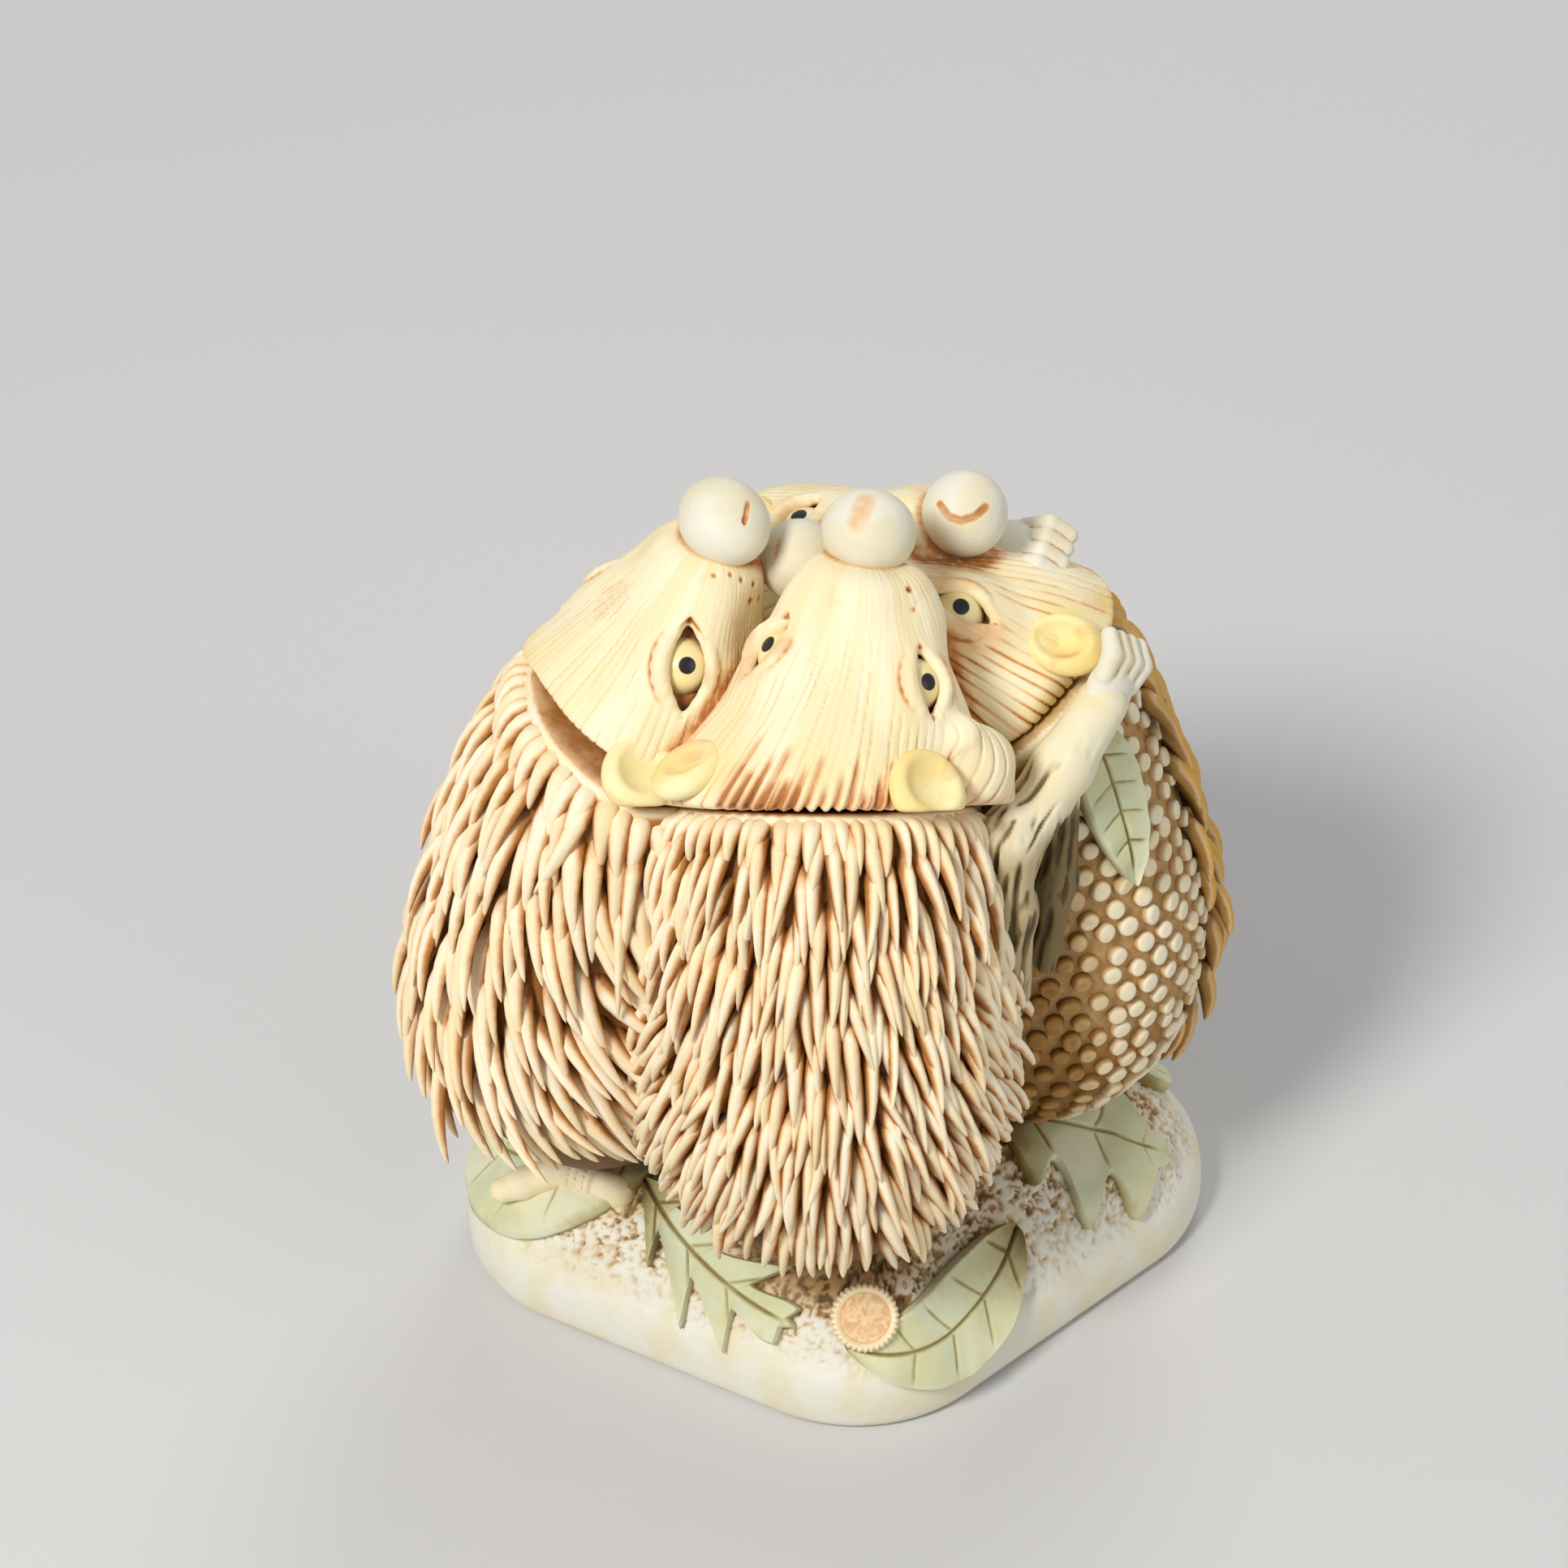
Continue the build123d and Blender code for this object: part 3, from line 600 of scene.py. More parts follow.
def spines(coat, roots, ways, outs, lengths, widths, heights, crest, pale, rooted):
    """Many tapered quills at once; a high crest makes their ridges sharp, pale is their wash."""
    ways = ways / np.linalg.norm(ways, axis=1)[:, None]
    across = np.cross(ways, outs)
    across /= np.linalg.norm(across, axis=1)[:, None]
    outs = np.cross(across, ways)
    share, half, high, off = QUILL_RINGS.T
    cos, sin = np.cos(QUILL_TURNS), np.sin(QUILL_TURNS)
    aside = np.sign(cos) * np.abs(cos) ** crest
    up = np.sign(sin) * np.abs(sin) ** crest * np.where(sin < 0, 0.6, 1.0)
    n, rings, turns = len(roots), len(share), len(cos)
    bend = rng.normal(0, 0.05, n)
    line = (
        roots[:, None]
        + ways[:, None] * (share[None, :, None] * lengths[:, None, None])
        + outs[:, None] * (off[None, :, None] * lengths[:, None, None])
        + across[:, None] * ((share**2)[None, :, None] * (bend * lengths)[:, None, None])
    )
    points = (
        line[:, :, None]
        + across[:, None, None] * (aside[None, None] * half[None, :, None] * widths[:, None, None] / 2)[..., None]
        + outs[:, None, None] * (up[None, None] * high[None, :, None] * heights[:, None, None] / 2)[..., None]
    )
    flank = 0.95 * eased(0.88, 0.20, up) + 0.30 * eased(0.25, -0.5, up)
    from_root = eased(0.34, 0.10, share)[None, :, None] * rooted[:, None, None]
    from_tip = eased(0.55, 0.95, share)[None, :, None]
    wash = flank[None, None, :] * (1 - 0.35 * from_tip) + 0.75 * from_root - 0.10 * from_tip
    wash = wash + rng.normal(0, 0.10, n)[:, None, None] + pale
    ring = np.arange(rings * turns).reshape(rings, turns)
    after = np.roll(ring, -1, axis=1)
    faces = np.stack([ring[:-1], ring[1:], after[1:], after[:-1]], -1).reshape(-1, 4)
    quads = (np.arange(n)[:, None, None] * rings * turns + faces[None]).reshape(-1, 4)
    wash = np.broadcast_to(wash, (n, rings, turns)).ravel()
    tints = np.repeat(0.35 * rng.random(n) ** 3, rings * turns)
    coat.take(points.reshape(-1, 3), wash, tints, quads)


def quilled(coat, back, pitch, drop, length, width, height, fan, limits, bottom, lift, crest, pale=0.0):
    """Rows of overlapping quills down a back.

    pitch and drop are the gaps across and down between roots in mm, and length, width and height the size of a quill.
    fan gives the lean by turn and height, limits the turns where they stand, and bottom the lowest root by turn.
    lift is in degrees off the skin, crest sharpens the ridges, and pale is added to the wash.
    """
    low, high = limits
    rows = []
    z = min(bottom(low), bottom(high))
    row = 0
    while z < HIGHEST_ROOT:
        number = max(3, int((high - low) * back.radius(z) / pitch))
        for column in range(number + 1):
            turn = low + (high - low) * (column + 0.5 * (row % 2)) / number + rng.normal(0, 0.02)
            rows.append((turn, z + rng.normal(0, ROW_JITTER), 1.0, 1.0))
        z += drop
        row += 1
    number = int((high - low) * back.radius(RIM) / (pitch * 0.95))
    for column in range(number + 1):
        turn = low + (high - low) * column / number + rng.normal(0, 0.012)
        rows.append((turn, back.seam(turn) - 0.35, RIM_SIZE, RIM_STAIN))
    gathered = []
    for turn, root_z, size, stain in rows:
        seam = back.seam(turn)
        if root_z > seam - 0.3 or root_z < bottom(turn):
            continue
        place, out, down, rest = back.place(turn, root_z)
        near_rim = eased(9.0, 1.0, seam - root_z)
        lean = fan(turn, root_z) * (1 - 0.6 * near_rim) + rng.normal(0, 0.075)
        rise = math.radians(lift + rng.normal(0, 2.5))
        way = (down * math.cos(lean) + rest * math.sin(lean)) * math.cos(rise) + out * math.sin(rise)
        shorter = 1 - 0.3 * eased(bottom(turn) + 4.5, bottom(turn), root_z)
        size = size * (1 + rng.normal(0, 0.10)) * shorter
        wide = width * (1 + rng.normal(0, 0.10))
        if not in_core(place) and not in_core(place + way * length * size):
            gathered.append((place + out * 0.05, way, out, length * size, wide, stain))
    roots, ways, outs = (np.array([entry[i] for entry in gathered]) for i in range(3))
    lengths, widths, rooted = (np.array([entry[i] for entry in gathered]) for i in (3, 4, 5))
    spines(coat, roots, ways, outs, lengths, widths, np.full(len(roots), height), crest, pale, rooted)


# Up a peg: share of its radius, height over the skin and wash
PEG_RINGS = (
    (1.02, -0.9, 1.1),
    (0.98, -0.15, 0.85),
    (0.97, 0.45, 0.35),
    (0.90, 0.60, 0.1),
    (0.72, 0.68, 0.0),
    (0.35, 0.69, 0.0),
    (0.03, 0.69, 0.05),
)
PEG_RADIUS, PEG_PITCH, PEG_ROWS, PEG_TURN, PEG_SIDES = 0.79, 2.2, 1.92, 2.2, 14


def pegged(coat, back, ridge):
    """Flat round pegs in staggered rows on both flanks."""
    turns = np.arange(PEG_SIDES) * 2 * math.pi / PEG_SIDES
    row, z = 0, MOUND_TOP + 2.0
    while z < RIM + 8:
        number = int(2 * PEG_TURN * back.radius(z) / PEG_PITCH)
        for column in range(number):
            turn = PEG_TURN * (2 * (column + 0.5 * (row % 2)) / number - 1) + rng.normal(0, 0.015)
            peg_z = z + rng.normal(0, 0.14)
            if ridge[0] < turn < ridge[1] or peg_z > back.seam(turn) - 1.3:
                continue
            place, out, down, rest = back.place(turn, peg_z)
            if in_core(place):
                continue
            way = unit(out + 0.10 * rng.normal(0, 1, 3))
            one = unit(np.cross(way, down))
            two = np.cross(way, one)
            radius, wide = PEG_RADIUS * (1 + rng.normal(0, 0.05)), 1 + rng.normal(0, 0.05)
            points, wash = [], []
            for share, height, stain in PEG_RINGS:
                ring = np.outer(np.cos(turns), one) * wide + np.outer(np.sin(turns), two) / wide
                points.append(place + ring * radius * share + way * height)
                wash.append(np.full(len(turns), stain))
            stain = 0.85 * eased(-1.05, -1.45, turn) + max(0.0, rng.normal(-0.05, 0.12))
            wash = np.concatenate(wash) + stain
            quads = grid_quads(len(PEG_RINGS), PEG_SIDES, closed=True)
            coat.take(np.concatenate(points), wash, np.zeros(len(wash)), quads)
        z += PEG_ROWS
        row += 1


def dressed_body(side, dress, material, colours, stain):
    """Makes one body: its skin of clay, its coat, and the paint on both, with painted shade low on the skin and on
    its top face.
    """
    back, clay = body_clay(side, 0.34)
    trim_body(side, clay)
    skin, quads = clay.mesh()
    coat = Coat()
    depth = distance_at(back, skin)
    rim = above_seam(0)(*skin.T)
    wash = stain * eased(0.35, 1.3, rim) + 0.25 * eased(-0.5, -2.0, depth)
    # The top face under the seam, in the gap below the lid, is washed brown: partly the wash and partly painted shade
    wash += (0.40 + 0.35 * noise(skin, 1.4, 7.9)) * eased(0.22, 0.08, rim)
    # Painted shade: the skin turns darker towards its bottom, under the quills, where the body's shadow falls
    wash += 0.55 * eased(29.0, 20.0, skin[:, 2])
    coat.take(skin, wash, colours(back, skin), quads)
    dress(coat, back)
    points = np.concatenate(coat.points)
    tint, wash = np.concatenate(coat.tint), np.concatenate(coat.wash)
    name, quads = "body_" + side, np.concatenate(coat.quads)
    piece(name, points, quads, material, "box", [name], wash, tint)


def distance_at(back, points):
    """Distance of places to the skin of a back."""
    out, across = outward(back.side), along_side(back.side)
    way_out = points @ out - back.out(points[:, 2])
    way_across = points @ across - SHIFTS[back.side]
    return np.hypot(way_out, way_across) - back.radius(points[:, 2])


def no_tint(back, points):
    return np.zeros(len(points))


RIDGE = (-0.12, 0.66)  # where the ridge of the right back lies, as turns


def ridge_tint(back, points):
    """The band of ochre down the ridge of the right hedgehog."""
    out, across = outward(back.side), along_side(back.side)
    turn = np.arctan2(points @ across - SHIFTS[back.side], points @ out - back.out(points[:, 2]))
    return eased(RIDGE[0] - 0.06, RIDGE[0] + 0.04, turn) * eased(RIDGE[1] + 0.06, RIDGE[1] - 0.04, turn)


def front_coat(coat, back):
    def fan(turn, z):
        return 0.62 * math.sin(turn) * (0.25 + 0.75 * eased(RIM + 2, RIM - 22, z))

    quilled(
        coat, back, pitch=1.22, drop=2.3, length=7.4, width=1.36, height=1.6,
        fan=fan, limits=(-1.75, 1.8), bottom=lambda turn: 23.8, lift=11.5, crest=1.5,
    )


def left_coat(coat, back):
    def fan(turn, z):
        return 0.15 + 0.60 * math.sin(turn - 0.2) * (0.35 + 0.65 * eased(RIM + 6, RIM - 16, z))

    def bottom(turn):
        return 21.0 + 6.0 * eased(-0.7, -0.1, turn)

    quilled(
        coat, back, pitch=1.50, drop=3.2, length=9.6, width=1.70, height=1.6,
        fan=fan, limits=(-1.9, 1.85), bottom=bottom, lift=9.5, crest=1.4, pale=-0.05,
    )


def back_coat(coat, back):
    def fan(turn, z):
        return 0.55 * math.sin(turn) * eased(RIM + 2, RIM - 22, z)

    quilled(
        coat, back, pitch=1.34, drop=2.6, length=8.0, width=1.46, height=1.5,
        fan=fan, limits=(-1.8, 1.8), bottom=lambda turn: 19.0, lift=10.5, crest=1.45,
    )


def right_coat(coat, back):
    pegged(coat, back, RIDGE)
    first = len(coat.points)

    def fan(turn, z):
        return 0.5 * (turn - 0.2)

    quilled(
        coat, back, pitch=1.8, drop=2.6, length=6.0, width=2.2, height=2.0,
        fan=fan, limits=RIDGE, bottom=lambda turn: 17.0, lift=15, crest=1.5, pale=0.14,
    )
    coat.tint[first:] = [np.ones(len(tint)) for tint in coat.tint[first:]]


# Heads

HEAD_GIRTHS = (
    (-0.60, 1.08),
    (-0.15, 1.00),
    (0.08, 0.92),
    (0.35, 0.70),
    (0.60, 0.47),
    (0.80, 0.36),
    (0.97, 0.27),
    (1.15, 0.16),
)


class Head:
    """One head: rings round a line from the nape to the nose."""

    def __init__(self, side):
        self.side = side
        self.nape = at(side, REACHES[side] - 0.75 * LEANS[side], SHIFTS[side], RIM + 1)
        self.nose = at(side, *NOSES[side])
        self.length = float(np.linalg.norm(self.nose - self.nape))
        self.axis = unit(self.nose - self.nape)
        across = unit(np.cross(outward(side), self.axis))
        up = np.cross(self.axis, across)
        roll = math.radians(ROLLS[side])
        self.across = across * math.cos(roll) + up * math.sin(roll)
        self.up = up * math.cos(roll) - across * math.sin(roll)
        places, values = curve(HEAD_GIRTHS)
        self.places, self.girths = places, values[:, 0] * HEAD_RADII[side]
        self.bow = np.array((BOWS[side], 0, 0))

    def bent(self, along):
        """How far the middle line lies off the straight line, as a share of the bow."""
        return np.sin(math.pi * np.clip(along, 0, 1))

    def girth(self, along):
        return np.interp(along, self.places, self.girths)

    def on(self, along, turn):
        """A place on the head at a turn in degrees from the forehead, and the way out of it."""
        turn = math.radians(turn)
        way = self.across * math.sin(turn) * 0.94 + self.up * math.cos(turn)
        radius = float(self.girth(along))
        rise = float(self.girth(along - 0.05) - self.girth(along + 0.05)) / (0.1 * self.length)
        line = self.nape + self.axis * along * self.length + self.bow * self.bent(along)
        return line + way * radius, unit(way + self.axis * rise)

    def coordinates(self, points):
        """Share of the way along, turn in radians from the forehead, and distance from the line."""
        away = points - self.nape
        along = away @ self.axis / self.length
        away = away - self.bent(along)[:, None] * self.bow
        x, y = away @ self.across / 0.94, away @ self.up
        return along, np.arctan2(x, y), np.hypot(x, y)

    def shape(self, x, y, z):
        a, b, c = local(x, y, z, self.nape, (self.axis, self.across, self.up))
        along = a / self.length
        girth = self.girth(along).astype(np.float32)
        bent = self.bent(along)
        b, c = b - bent * (self.bow @ self.across), c - bent * (self.bow @ self.up)
        return (np.sqrt((b / 0.94) ** 2 + c * c) - girth) * 0.8


# Ways as the camera sees them: right, up and towards it
VIEW_RIGHT = np.array((1.0, 0, 0))
ELEVATION = math.radians(40)
VIEW_UP = np.array((0, math.sin(ELEVATION), math.cos(ELEVATION)))
VIEW_BACK = np.array((0, -math.cos(ELEVATION), math.sin(ELEVATION)))


def eye_axes(head, eye):
    """Place of an eye, and its long way, cross way and way out."""
    along, turn, tilt = eye[:3]
    place, out = head.on(along, turn)
    long_way = unit(head.axis - out * (head.axis @ out))
    cross_way = np.cross(out, long_way)
    tilt = math.radians(tilt)
    return (
        place,
        long_way * math.cos(tilt) + cross_way * math.sin(tilt),
        cross_way * math.cos(tilt) - long_way * math.sin(tilt),
        out,
    )


def carve_eye(clay, head, eye):
    """Brow, spindle-shaped socket and lids of one eye."""
    place, long_way, cross_way, out = eye_axes(head, eye)
    half_long, half_wide = eye[3:5]
    axes = (long_way, cross_way, out)
    room = around([place], half_long + 2.5)
    clay.add(egg(place - out * 1.0, axes, (half_long + 1.3, half_wide + 1.7, 2.0)), *room, blend=1.8)

    def spindle(x, y, z):
        a, b, c = local(x, y, z, place, axes)
        return np.maximum((np.abs(b) - half_wide * (1 - (a / half_long) ** 2)) * 0.8, -(c + 0.7))

    clay.cut(spindle, *around([place], half_long + 0.6), blend=0.25)
    for half, thick in ((1, 0.62), (-1, 0.46)):
        lid, radii = [], []
        for share in np.linspace(-1.12, 1.12, 11):
            swell = max(0.0, 1 - share * share)
            lid.append(
                place
                + long_way * half_long * share
                + cross_way * half * (half_wide + 0.12) * swell
                + out * (0.10 + 0.62 * swell)
            )
            radii.append(0.16 + (thick - 0.16) * math.sqrt(swell))
        add_limbs(clay, lid, radii, 0.25)


BALL_RADIUS = 2.15


def eyeball(name, head, eyes, gaze):
    """Both eyeballs of a head: a ball with a black pupil."""
    points, quads, dark = [], [], []
    leans = (0.0, 0.10, 0.20, 0.28, 0.31, 0.5, 0.7, 0.9, 1.2, 1.5, 1.8)
    turns = np.arange(40) * 2 * math.pi / 40
    faces = grid_quads(len(leans), len(turns), closed=True)[:, ::-1]
    for eye in eyes:
        place, long_way, cross_way, out = eye_axes(head, eye)
        look = unit(out + VIEW_RIGHT * gaze[0] + VIEW_UP * gaze[1])
        side_way = unit(np.cross(look, long_way))
        up_way = np.cross(side_way, look)
        quads.append(faces + sum(len(part) for part in points))
        for lean in leans:
            ring = np.outer(np.cos(turns), side_way) + np.outer(np.sin(turns), up_way)
            centre = place + head.axis * 0.25 - out * 1.35
            points.append(centre + (look * math.cos(lean) + ring * math.sin(lean)) * BALL_RADIUS)
            dark.append(np.full(len(turns), 1.0 if lean < 0.3 else 0.0))
    dark = np.concatenate(dark)
    points, quads = np.concatenate(points), np.concatenate(quads)
    piece(name, points, quads, eye_tint, "lid", [name], None, dark)


def hair(head, points, lines, depth, reach):
    """Combed grooves along a head: how deep each point lies in one, and the same as a share."""
    along, turn, away = head.coordinates(points)
    spot = np.stack([turn * 3.0, along * 2.5, np.full(len(points), 7.7)], 1)
    drift = noise(spot, 1.0) * 5.0
    broken = noise(np.stack([turn * lines * 0.45, along * 4.0, np.full(len(points), 3.3)], 1), 1.0)
    line = np.clip(np.sin(turn * lines + drift), 0, 1) ** 3
    share = line * eased(0.28, 0.6, broken) * eased(reach[1], reach[0], along)
    return share * depth, share


def dashes(head, points, spots, width, depth):
    """Short cut strokes that run along a head, each given by its turn and its start and end."""
    along, turn, away = head.coordinates(points)
    share = np.zeros(len(points))
    for middle, start, end in spots:
        aside = (turn - math.radians(middle)) * away
        here = np.exp(-((aside / width) ** 2)) * eased(start - 0.02, start + 0.02, along)
        share = np.maximum(share, here * eased(end + 0.03, end - 0.05, along))
    return share * depth, share


def ear_axes(head, along, turn, tilt):
    """Middle of an ear, its long way, cross way and the way its hollow faces."""
    place, out = head.on(along, turn)
    back = unit(-head.axis + out * (head.axis @ out))
    face = unit(out * math.cos(tilt) - back * math.sin(tilt))
    cross_way = unit(np.cross(face, back))
    return place, np.cross(cross_way, face), cross_way, face


HEAD_STEP = 0.14
TUFT = ((9.0, -13.4, 61.5), (10.2, -12.6, 58.6), (10.6, -12.4, 55.0))  # hair beside the front head's near ear
TUFT_RADII = (1.4, 2.1, 2.3)
ARM_SIDE, ARM_WAY, ARM_ROOM = (13.0, -11.5, 50.0), (6.3, 6.2, 0), 3.3  # the right head makes room for the arm here
SET_BACK = 2.4  # the left head stands back from its body's rim by this much at the near side
FUR_REACH = (0.5, 0.85)  # the grooves of the fur fade out between these shares of the head's length
NOSE_SEAT = 1.9  # how far behind the middle of the nose the head ends


def made_head(side, eyes, ears, lines, dots=(), cuts=(), gaze=(0, 0), furrow=0.16, stain=0.45):
    """One head with its fur, eyes and ears. lines is the number of grooves in a turn, by 2 pi."""
    head = Head(side)
    wide = HEAD_RADII[side] + 3
    low, high = around([head.nape - wide, head.nape + wide, head.nose - 5, head.nose + 5], 0)
    low[2] = RIM - 1
    clay = Clay(low, high, HEAD_STEP)
    clay.add(head.shape)
    clay.cut(plane(head.nose - head.axis * NOSE_SEAT, -head.axis), blend=1.6)
    for turn in (-75, 75):
        pad, out = head.on(0.76, turn)
        muzzle = egg(pad - out * 1.1, (head.axis, np.cross(out, head.axis), out), (2.8, 2.0, 1.9))
        clay.add(muzzle, *around([pad], 5), blend=1.2)
    if side == "front":
        add_limbs(clay, TUFT, TUFT_RADII, 1.8)
    for eye in eyes:
        carve_eye(clay, head, eye)

    def below_edge(x, y, z):
        gap = SEAM_GAP
        if side == "left":
            gap = SEAM_GAP + SET_BACK * eased(1.0, -6.0, y) * eased(-26.0, -20.0, x)
        return -above_seam(gap)(x, y, z)

    clay.cut(below_edge, blend=0.8)
    if side == "right":
        way = unit(ARM_WAY)
        beside = np.array((way[1], -way[0], 0.0))
        clay.cut(plane(ARM_SIDE - beside * ARM_ROOM, -beside), blend=0.6)
    points, quads = clay.mesh()
    normals = normals_of(points, quads)
    along, turn, away = head.coordinates(points)
    sunk, share = hair(head, points, lines, furrow, FUR_REACH)
    sunk_cut, share_cut = dashes(head, points, cuts, 0.24, 0.4)
    near_eye = np.full(len(points), FAR)
    socket = np.zeros(len(points))
    for eye in eyes:
        near_eye = np.minimum(near_eye, np.linalg.norm(points - head.on(*eye[:2])[0], axis=1))
        place, *axes = eye_axes(head, eye)
        a, b, c = local(*points.T, place, axes)
        opening = eye[4] * (1 - (a / eye[3]) ** 2) + 0.15
        socket = np.maximum(socket, (np.abs(b) < opening) * eased(0.45, 0.0, c))
    free = eased(2.6, 4.2, near_eye)
    spots = np.zeros(len(points))
    for dot in dots:
        apart = np.linalg.norm(points - head.on(*dot)[0], axis=1)
        spots = np.maximum(spots, np.exp(-((apart / 0.22) ** 2)))
    hollow = hollowness(points, quads, 0.5, clay.step)
    x, y, z = points.T
    others = np.min([Head(other).shape(x, y, z) for other in SIDES if other != side] + [np.full(len(points), FAR)], 0)
    points = points - normals * (np.maximum(sunk * free, sunk_cut) + 0.25 * spots)[:, None]
    wash = 0.95 * eased(0.0, 0.10, hollow) + stain * share * free + 0.75 * share_cut + 1.5 * spots
    stipple = 0.55 + 0.9 * noise(points, 0.45)
    wash += 0.75 * eased(1.5, 0.2, others) * stipple * eased(-0.2, 0.2, along)
    wash += 0.22 * eased(4.4, 2.6, near_eye) + 0.8 * socket
    wash += 0.55 * eased(3.9, 3.3, np.linalg.norm(points - head.nose, axis=1))
    wash += 0.25 * eased(0.60, 0.75, noise(points, 3.2, 6.1))
    edge = above_seam(SEAM_GAP)(*points.T)
    wash += 0.30 * eased(-2.2, -0.4, edge) * (0.3 + noise(points, 2.0, 2.7))
    tint = 0.75 * eased(0.45, -0.05, along) * eased(0.35, 0.7, noise(points, 4.0))
    flow = np.stack([turn * 13, away * 0.3, along * head.length], 1)
    piece("head_" + side, points, quads, face_resin, "lid", ["head_" + side], wash, tint, flow)
    eyeball("eyes_" + side, head, eyes, gaze)
    made_ears(head, ears)
    made_nose(head)


def made_ears(head, ears):
    """The cupped ears of a head as one piece."""
    places = [head.on(*ear[:2])[0] for ear in ears]
    clay = Clay(*around(places, 6.0), 0.14)
    for along, turn, tilt, half_long, half_wide, dish in ears:
        place, long_way, cross_way, face = ear_axes(head, along, turn, tilt)
        axes = (long_way, cross_way, face)
        room = around([place], 5.5)
        clay.add(egg(place + face * 0.35, axes, (half_long, half_wide, 1.35)), *room, blend=0.3)
        hole = egg(place + face * 1.7 - long_way * 0.5, axes, (half_long - 0.9, half_wide - 0.8, dish))
        clay.cut(hole, *room, blend=0.5)
    clay.cut(lambda x, y, z: -above_seam(SEAM_GAP)(x, y, z), blend=0.4)
    points, quads = clay.mesh()
    wash = 0.6 * eased(0.02, 0.12, hollowness(points, quads, 0.6, clay.step))
    wash += 0.35 * eased(0.62, 0.8, noise(points, 1.6, 1.1))
    tint = eased(0.4, 0.65, noise(points, 3.0, 4.0))
    piece("ears_" + head.side, points, quads, ear_tint, "lid", ["ears_" + head.side], wash, tint)


# Each nose: its half sizes, its groove as places right of and above its middle, the groove's half width,
# and how far the wash spreads from it
NOSE_FORMS = {
    "front": ((3.1, 3.4, 3.2), ((-0.2, 2.2), (-0.6, 1.4), (-0.9, 0.5)), 0.12, 1.5),
    "left": ((3.0, 3.7, 3.3), ((1.85, 1.3), (1.5, -0.2), (1.05, -1.8)), 0.13, 0.22),
    "back": ((3.2, 3.15, 3.2), ((-2.0, 0.5), (-1.3, -0.5), (-0.35, -0.85), (0.7, -0.5), (1.5, 0.25)), 0.22, 0.26),
    "right": ((3.0, 3.0, 3.0), ((-1.5, 1.5), (-1.8, 0.0)), 0.16, 0.3),
}


def made_nose(head):
    """The round nose, a little squashed, with the groove cut in it."""
    clay = Clay(*around([head.nose], 4.6), 0.12)
    radii, groove, width, smear = NOSE_FORMS[head.side]
    clay.add(egg(head.nose, (head.axis, head.across, head.up), radii))
    line = []
    for right, up in groove:
        forward = math.sqrt(max(0.0, 3.3**2 - right**2 - up**2))
        line.append(head.nose + VIEW_RIGHT * right + VIEW_UP * up + VIEW_BACK * forward)
    apart = FAR
    for start, end in zip(line[:-1], line[1:]):
        clay.cut(limb(start, end, width, width), blend=0.2)
    points, quads = clay.mesh()
    for start, end in zip(line[:-1], line[1:]):
        apart = np.minimum(apart, limb(start, end, width, width)(*points.T))
    wash = (0.80 if smear < 1 else 0.52) * eased(smear, 0.02, apart) * (0.8 + 0.4 * noise(points, 0.5, 3.6))
    back = (points - head.nose) @ -head.axis
    wash = np.maximum(wash, 0.6 * eased(1.7, 2.9, back))
    piece("nose_" + head.side, points, quads, nose_resin, "lid", ["nose_" + head.side], wash)


# Eyes: share along the head, turn and tilt in degrees, half length and half width of the opening.
# Ears: share along, turn in degrees, tilt in radians, half length, half width and depth of the cup.
# Dots are whisker pits, as share along and turn. Cuts are strokes at the hem: turn, start and end.
made_head(
    "front",
    eyes=((0.53, -44, 0, 2.8, 1.55), (0.53, 62, 0, 2.8, 1.55)),
    ears=((0.19, -39, 0.15, 3.2, 3.1, 1.2), (0.08, 54, 0.5, 2.9, 2.4, 1.0)),
    lines=84,
    dots=((0.85, -48), (0.82, -63), (0.78, -48), (0.76, -63), (0.73, -54), (0.80, -56)),
    cuts=[(turn, -0.4, 0.20 + 0.05 * (turn % 3)) for turn in range(-30, 36, 5)],
    gaze=(0.0, -0.1),
)
made_head(
    "left",
    eyes=((0.52, -69, 12, 3.7, 1.75), (0.52, 62, 0, 3.3, 1.6)),
    ears=((0.13, -64, 0.5, 3.1, 2.8, 1.2), (0.16, 80, 0.1, 2.2, 1.9, 0.8)),
    lines=85,
    dots=(
        (0.87, -69), (0.89, -88), (0.91, -108), (0.87, -103), (0.84, -123),
        (0.83, -78), (0.83, -93), (0.79, -93), (0.78, -118), (0.77, -135),
    ),
    cuts=[(turn, -0.3, 0.12) for turn in (-46, -38, -30, -22, -14)],
    furrow=0.12,
)
made_head(
    "right",
    eyes=((0.46, 3, -8, 2.8, 1.5), (0.42, -88, 0, 2.8, 1.5)),
    ears=((0.08, 2, 0.4, 3.0, 2.4, 1.5), (0.12, -96, 0.5, 2.6, 2.2, 0.9)),
    lines=62,
    furrow=0.26,
    stain=0.85,
)
made_head(
    "back",
    eyes=((0.40, -66, 60, 2.9, 1.4), (0.50, 62, 0, 3.1, 1.55)),
    ears=((0.14, -58, 0.5, 2.8, 2.5, 0.9),),
    lines=85,
)


# Arm and paws


def fur_wash(points, way, seed):
    """Grooves of fur that run along a way: depth shares from stretched noise."""
    way = unit(way)
    flat = points - np.outer(points @ way, way) * 0.85
    grain = noise(flat, 0.45, seed)
    return np.clip((grain - 0.5) * 3.2, 0, 1)


ARM = ((12.6, -11.8, 50.6), (16.4, -8.6, 55.0), (19.3, -5.3, 58.3))  # shoulder, elbow and wrist
NEAR_FLANK = ((12.4, -12.6, 52), (12.9, -13.0, 45), (13.6, -13.0, 37))
FAR_FLANK = ((16.0, -8.6, 52), (16.2, -9.4, 45), (15.6, -10.6, 38))


